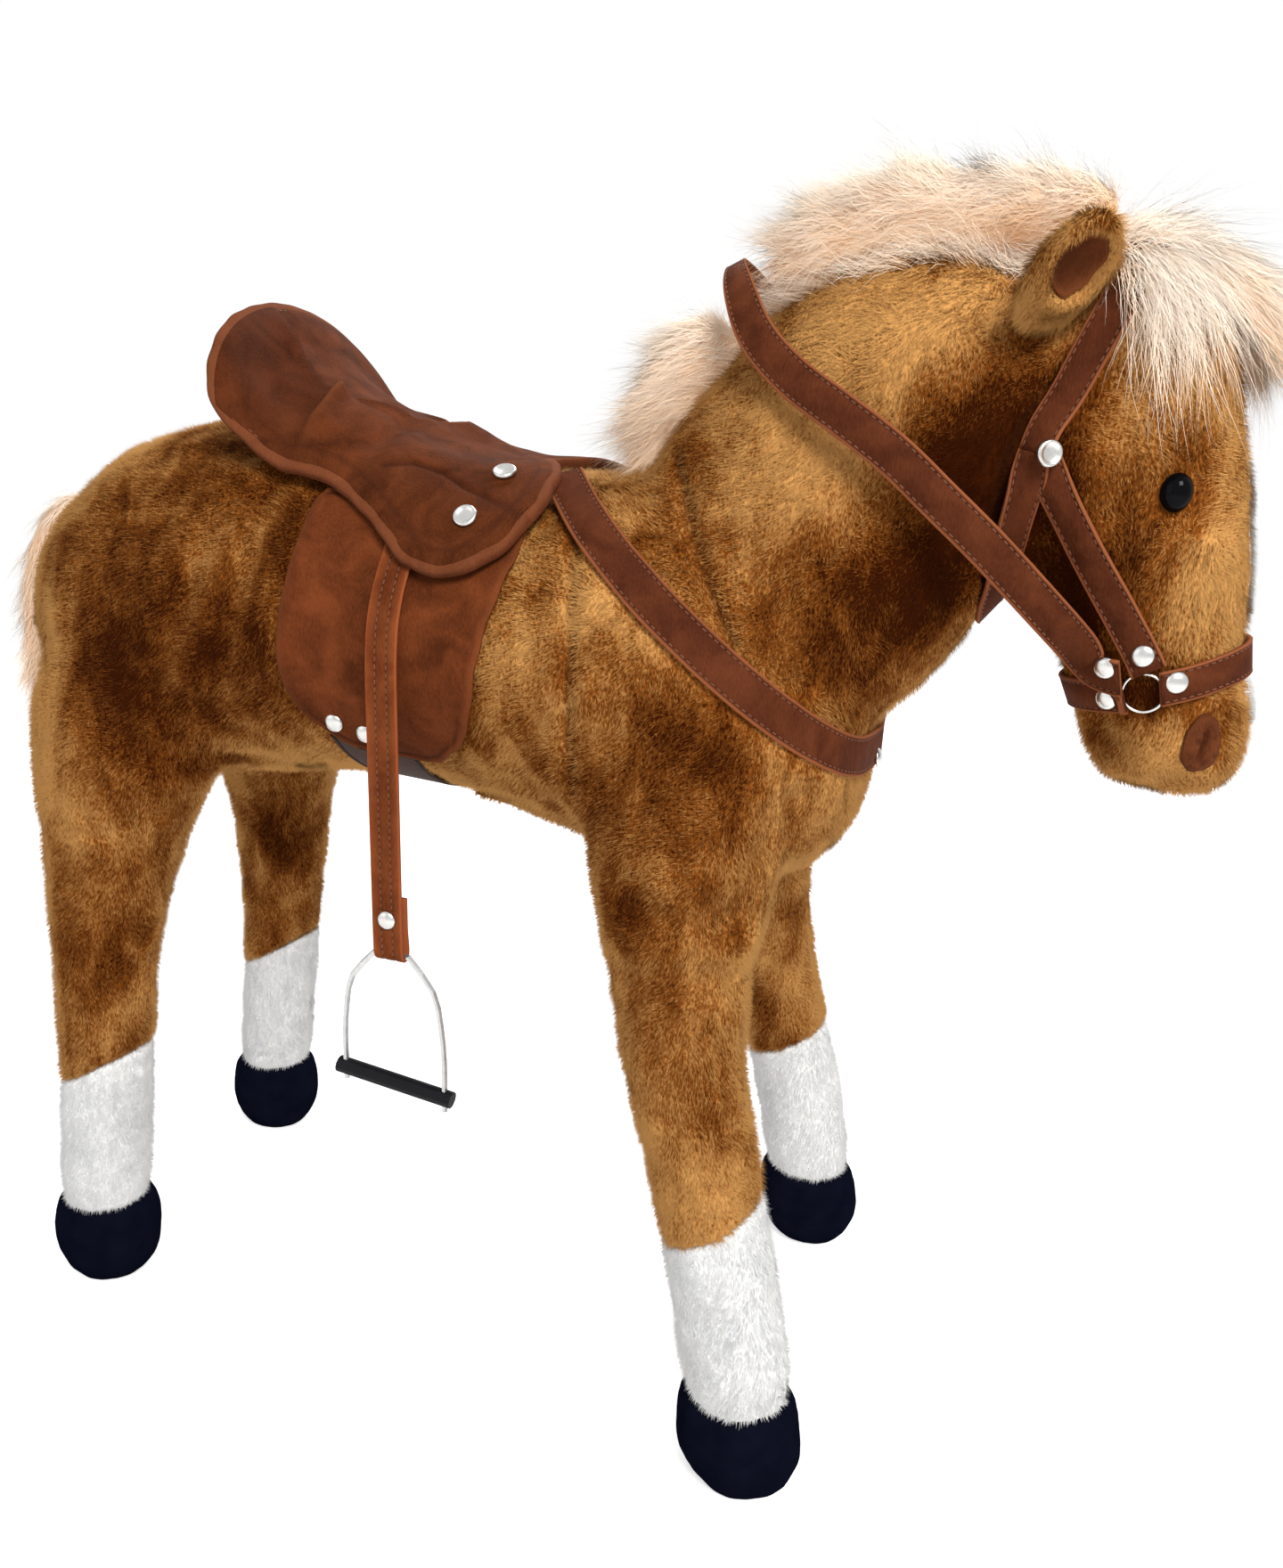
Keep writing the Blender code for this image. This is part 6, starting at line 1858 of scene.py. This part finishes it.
# Node, body, how far its core is moved, share of its height kept, strips, length, sweep direction, stand (how much
# it stands out from the core), droop, curl
TUFTS = (
    ("mane_upper", "horse", (0, 0, 0), 1.0, 26000, 0.026, (-0.70, 0.0, 0.05), 0.65, 0.25, 0.50),
    ("mane_lower", "horse", (0.013, 0, -0.005), 1.0, 16000, 0.026, (-0.80, 0.0, -0.40), 0.50, 0.20, 0.50),
    ("forelock", "horse", (0.002, 0, -0.022), 0.68, 20000, 0.025, (0.95, 0.0, -0.35), 0.30, 0.45, 0.50),
    ("tail", "tail_body", (0, 0, 0), 1.0, 15000, 0.026, (-0.20, 0.0, -1.0), 0.40, 0.15, 0.45),
)
# Name, middle, reach, strips, length, sweep direction, stand, droop, curl
SOWN_TUFTS = (
    ("poll", (0.298, 0.0, 0.676), (0.034, 0.046, 0.032), 22000, 0.031, (0.70, 0.0, -0.05), 0.75, 0.55, 0.55),
    ("brow", (0.309, 0.0, 0.660), (0.030, 0.058, 0.030), 22000, 0.056, (0.35, 0.0, -0.95), 0.50, 0.25, 0.35),
    ("crest", (0.200, 0.0, 0.660), (0.120, 0.036, 0.034), 10000, 0.030, (-0.85, 0.0, 0.05), 0.60, 0.25, 0.50),
    ("withers", (0.095, 0.0, 0.600), (0.036, 0.028, 0.062), 11000, 0.030, (-0.90, 0.0, -0.20), 0.60, 0.25, 0.50),
)


def hair_core(node, moved, kept):
    """The plain tuft wrapped and drawn in, for the hair to grow from. It also closes the view through it."""
    mesh = remeshed(node + "_core", [node], 0.0030)
    points = arrays_of(mesh)[0] + np.array(moved)
    top = points[:, 2].max()
    points[:, 2] = top - (top - points[:, 2]) * kept
    points = relaxed(points, edges_of(mesh), 5)
    set_points(mesh, points)
    _, normals, _ = arrays_of(mesh)
    set_points(mesh, relaxed(points - normals * HAIR_INSET, edges_of(mesh), 4))
    _, normals, _ = arrays_of(mesh)
    marked(mesh, "along", np.full(len(normals), 0.45))
    marked(mesh, "tint", np.clip(0.3 + 0.5 * normals[:, 2], 0, 1))
    return mesh


def grown(name, body, roots, normals, length, sweep, stand, droop, curl, dice):
    """Hair from these roots, as one piece. Strands that would grow inwards are laid flat along the sweep."""
    count = len(roots)
    flow = np.array(sweep) + normals * stand + wandering(roots, 0.022, float(len(name))) * 0.45
    flow = unit(flow + (dice.random((count, 3)) - 0.5) * 0.45)
    outward = (flow * normals).sum(axis=1)
    lying = unit(np.array(sweep) - normals * (normals @ np.array(sweep))[:, None])
    flow = unit(flow + (normals + lying * 0.6) * np.maximum(0.15 - outward, 0)[:, None])
    lengths = length * (0.5 + 0.65 * dice.random(count) ** 1.4)
    strips = hair_strips(name, roots, flow, lengths, dice, curl, droop, CLUMPING, normals)
    piece_from(name, strips, MANE_HAIR, body)
    print(name, "strips", count)


def make_tuft(node, body, moved, kept, count, *ways, seed):
    dice = np.random.default_rng(seed)
    mesh = hair_core(node, moved, kept)
    core = piece_from(node + "_core", mesh, MANE_HAIR, body, [node])
    roots, normals, _ = sown(mesh, count, dice)
    grown(node + "_hair", body, roots, normals, *ways, dice)


def sown_near(mesh, middle, reach, count, dice):
    """Places strewn over the part of a mesh that lies inside an egg shape."""
    roots, normals, _ = sown(mesh, count * 40, dice)
    inside = np.linalg.norm((roots - middle) / reach, axis=1) < 0.75 + 0.25 * dice.random(len(roots))
    return roots[inside][:count], normals[inside][:count]


for seed, row in enumerate(TUFTS):
    make_tuft(*row, seed=seed + 1)
for seed, (title, middle, reach, count, *ways) in enumerate(SOWN_TUFTS):
    dice = np.random.default_rng(20 + seed)
    roots, normals = sown_near(COAT, np.array(middle), np.array(reach), count, dice)
    grown(title + "_hair", "horse", roots, normals, *ways, dice)

# %% [markdown]
# The short pile is what makes the coat plush. Hundreds of thousands of single triangles lean along the lay
# of the fabric; each root is tested against the tack, so none grows through a strap.

# %% What the pile keeps clear of
TACK_WORDS = (
    "sewn_", "girth_band", "saddle_seat_cover", "saddle_flap_cover", "saddle_binding", "cap_", "glossy_eye",
    "nostril_patch", "ear_lining_patch",
)
TACK_TREE = tack_tree(TACK_WORDS)
PILE_REACH = 0.016


def open_share(place, normal, length):
    """1 where the pile stands free, less close beside a strap, 0 under it."""
    start = Vector(place)
    if TACK_TREE.ray_cast(start, Vector(normal), PILE_REACH)[0]:
        return 0.0
    near = TACK_TREE.find_nearest(start, length * 1.5)[3]
    return 1.0 if near is None else min(1.0, 0.25 + 0.5 * near / length)


# %% [markdown]
# The lay runs back along the neck and barrel, down the legs and down the face, and wanders in patches.

# %% Short pile
PILE_LENGTH = 0.0044
PILE_WIDTH = 0.00052
PILE_LEAN = 0.50
QUICK_SHARE = 1.0


def lay_direction(places, normals):
    """Which way the pile lies: down the face and legs, back and down on the barrel and neck."""
    forward = np.where(places[:, 0] > 0.27, 0.15, -0.8)
    lay = np.stack([forward, np.zeros(len(places)), np.full(len(places), -0.75)], axis=1)
    low = np.clip((0.34 - places[:, 2]) / 0.08, 0, 1)[:, None]
    lay = lay * (1 - low) + np.array([0.0, 0.0, -1.0]) * low
    lay = lay + wandering(places, 0.035, 2.0) * 1.3 + wandering(places, 0.011, 9.0) * 0.7
    lay -= normals * (lay * normals).sum(axis=1)[:, None]
    return unit(lay)


def make_pile(name, mesh, count, finish, body, slot, seed, length=PILE_LENGTH, clear=True, seam=None, paler=0.0):
    dice = np.random.default_rng(seed)
    count = int(count * QUICK_SHARE)
    roots, normals, corners = sown(mesh, count, dice)
    reach = length * (0.65 + 0.7 * dice.random(count))
    if seam is not None:
        reach *= 1 - 0.75 * seam[corners[:, 0]]
    if clear:
        reach *= np.array([open_share(place, normal, length) for place, normal in zip(roots, normals)])
        kept = reach > length * 0.1
        roots, normals, reach = roots[kept], normals[kept], reach[kept]
    lay = lay_direction(roots, normals) + (dice.random((len(roots), 3)) - 0.5) * 0.7
    flow = unit(lay * PILE_LEAN * 1.6 + normals * (1 - PILE_LEAN) * 1.4)
    side = unit(np.cross(flow, normals) + (dice.random((len(roots), 3)) - 0.5) * 0.3)
    centres = np.stack([roots - normals * 0.0006, roots + flow * reach[:, None]], axis=1)
    widths = np.full((len(roots), 2), PILE_WIDTH) * (0.7 + 0.6 * dice.random((len(roots), 1)))
    strips = strip_mesh(name, centres, side, widths, dice.random(len(roots)), unit(normals + flow * 0.25))
    # Each strand takes the patches' painted light and shade at its root, or the ear's own paler tone.
    marked(strips, "shade", np.repeat(brushed(roots) * (paler == 0) + paler, 3))
    return piece_from(name, strips, finish, body)


BROWN = (BROWN_STRANDS, "horse", "brown_plush")
WHITE = (WHITE_STRANDS, "horse", "white_plush")
for part in range(3):
    pile = make_pile(f"coat_pile_{part + 1}", COAT, 195000, *BROWN, 40 + part, seam=COAT_SEAM)
    print(pile.name, "strips", len(pile.data.polygons))
for number, (sock, leg) in enumerate(zip(socks, LEGS)):
    make_pile(f"sock_pile_{leg}", sock.data, 22000, *WHITE, 60 + number, 0.0036, False)
for number, side in enumerate(("right", "left")):
    make_pile(f"ear_pile_{side}", ears[number].data, 11000, *BROWN, 70 + number, 0.0050, paler=EAR_SHADE)
make_pile(
    "belly_flap_pile", belly_flap.data, 7000, BROWN_STRANDS, "belly_flap_body", "brown_plush", 80, 0.0038, False
)
for number, node in enumerate(("face_blaze", "muzzle_snip")):
    make_pile(f"{node}_pile", bpy.data.objects["white_" + node].data, 5000, *WHITE, 90 + number, 0.004)

# %% [markdown]
# Some nodes already have their real shape: the wire irons with their treads, and the frame inside. They stay
# and only get a better metal or rubber.

# %% Finishes for the nodes that stay
KEPT_FINISHES = {
    "stirrup_iron": STEEL, "stirrup_tread": TREAD_RUBBER, "rear_leg_frame": STEEL,
    "front_leg_frame": STEEL, "spine_tube": STEEL, "neck_rod": STEEL,
}
for name, made in frame["nodes"].items():
    for start, finish in KEPT_FINISHES.items():
        if name.startswith(start):
            made.data.materials.clear()
            made.data.materials.append(finish)
            print("kept", name, "in", finish.name)

# %% [markdown]
# The stage is a pale floor under soft lamps. Floor and world add their own light to camera, mirror and glass
# rays and to nothing else, so the background is white and the toy keeps its shadows and its colours.

# %% Floor, world and lamps
FLOOR_SIZE = 12.0
FLOOR_GLOW = 0.58
WORLD_STRENGTH = 0.43
# Place, size, power, colour
LAMPS = (
    ((1.1, -1.5, 1.9), 0.8, 54.0, (1.0, 0.99, 0.96)),
    ((-1.3, -1.4, 1.0), 1.4, 5.0, (0.97, 0.98, 1.0)),
    ((0.1, 1.3, 1.9), 1.2, 28.0, (1.0, 1.0, 1.0)),
)


def seen_straight(tree):
    """1 for rays that should meet the white background: from the camera, a mirror or glass."""
    path = placed(tree, "LightPath").outputs
    first = worked(tree, "MAXIMUM", path["Is Camera Ray"], path["Is Glossy Ray"])
    return worked(tree, "MAXIMUM", first, path["Is Transmission Ray"])


def make_floor():
    shape = bmesh.new()
    bmesh.ops.create_grid(shape, x_segments=2, y_segments=2, size=FLOOR_SIZE / 2)
    mesh = bpy.data.meshes.new("floor")
    shape.to_mesh(mesh)
    shape.free()
    linked("floor", mesh)
    made, tree, shader = finish_from("floor_white", (0.86, 0.86, 0.86), 0.9)
    shader["Emission Color"].default_value = (1, 1, 1, 1)
    tree.links.new(times(tree, seen_straight(tree), FLOOR_GLOW), shader["Emission Strength"])
    mesh.materials.append(made)


def make_world():
    world = bpy.data.worlds.new("studio")
    bpy.context.scene.world = world
    world.use_nodes = True
    tree = world.node_tree
    strength = worked(tree, "MAXIMUM", times(tree, seen_straight(tree), 1.0), WORLD_STRENGTH)
    background = tree.nodes["Background"]
    background.inputs["Color"].default_value = (1, 1, 1, 1)
    tree.links.new(strength, background.inputs["Strength"])


def make_lamp(place, size, power, colour):
    lamp = linked("softbox", bpy.data.lights.new("softbox", "AREA"))
    lamp.data.energy = power
    lamp.data.size = size
    lamp.data.color = colour
    aim = Vector((0.0, 0.0, 0.4)) - Vector(place)
    lamp.matrix_world = Matrix.Translation(place) @ aim.to_track_quat("-Z", "Y").to_matrix().to_4x4()


make_floor()
make_world()
for lamp in LAMPS:
    make_lamp(*lamp)
bpy.context.scene.view_settings.view_transform = "Standard"
print("lamps:", len(LAMPS))
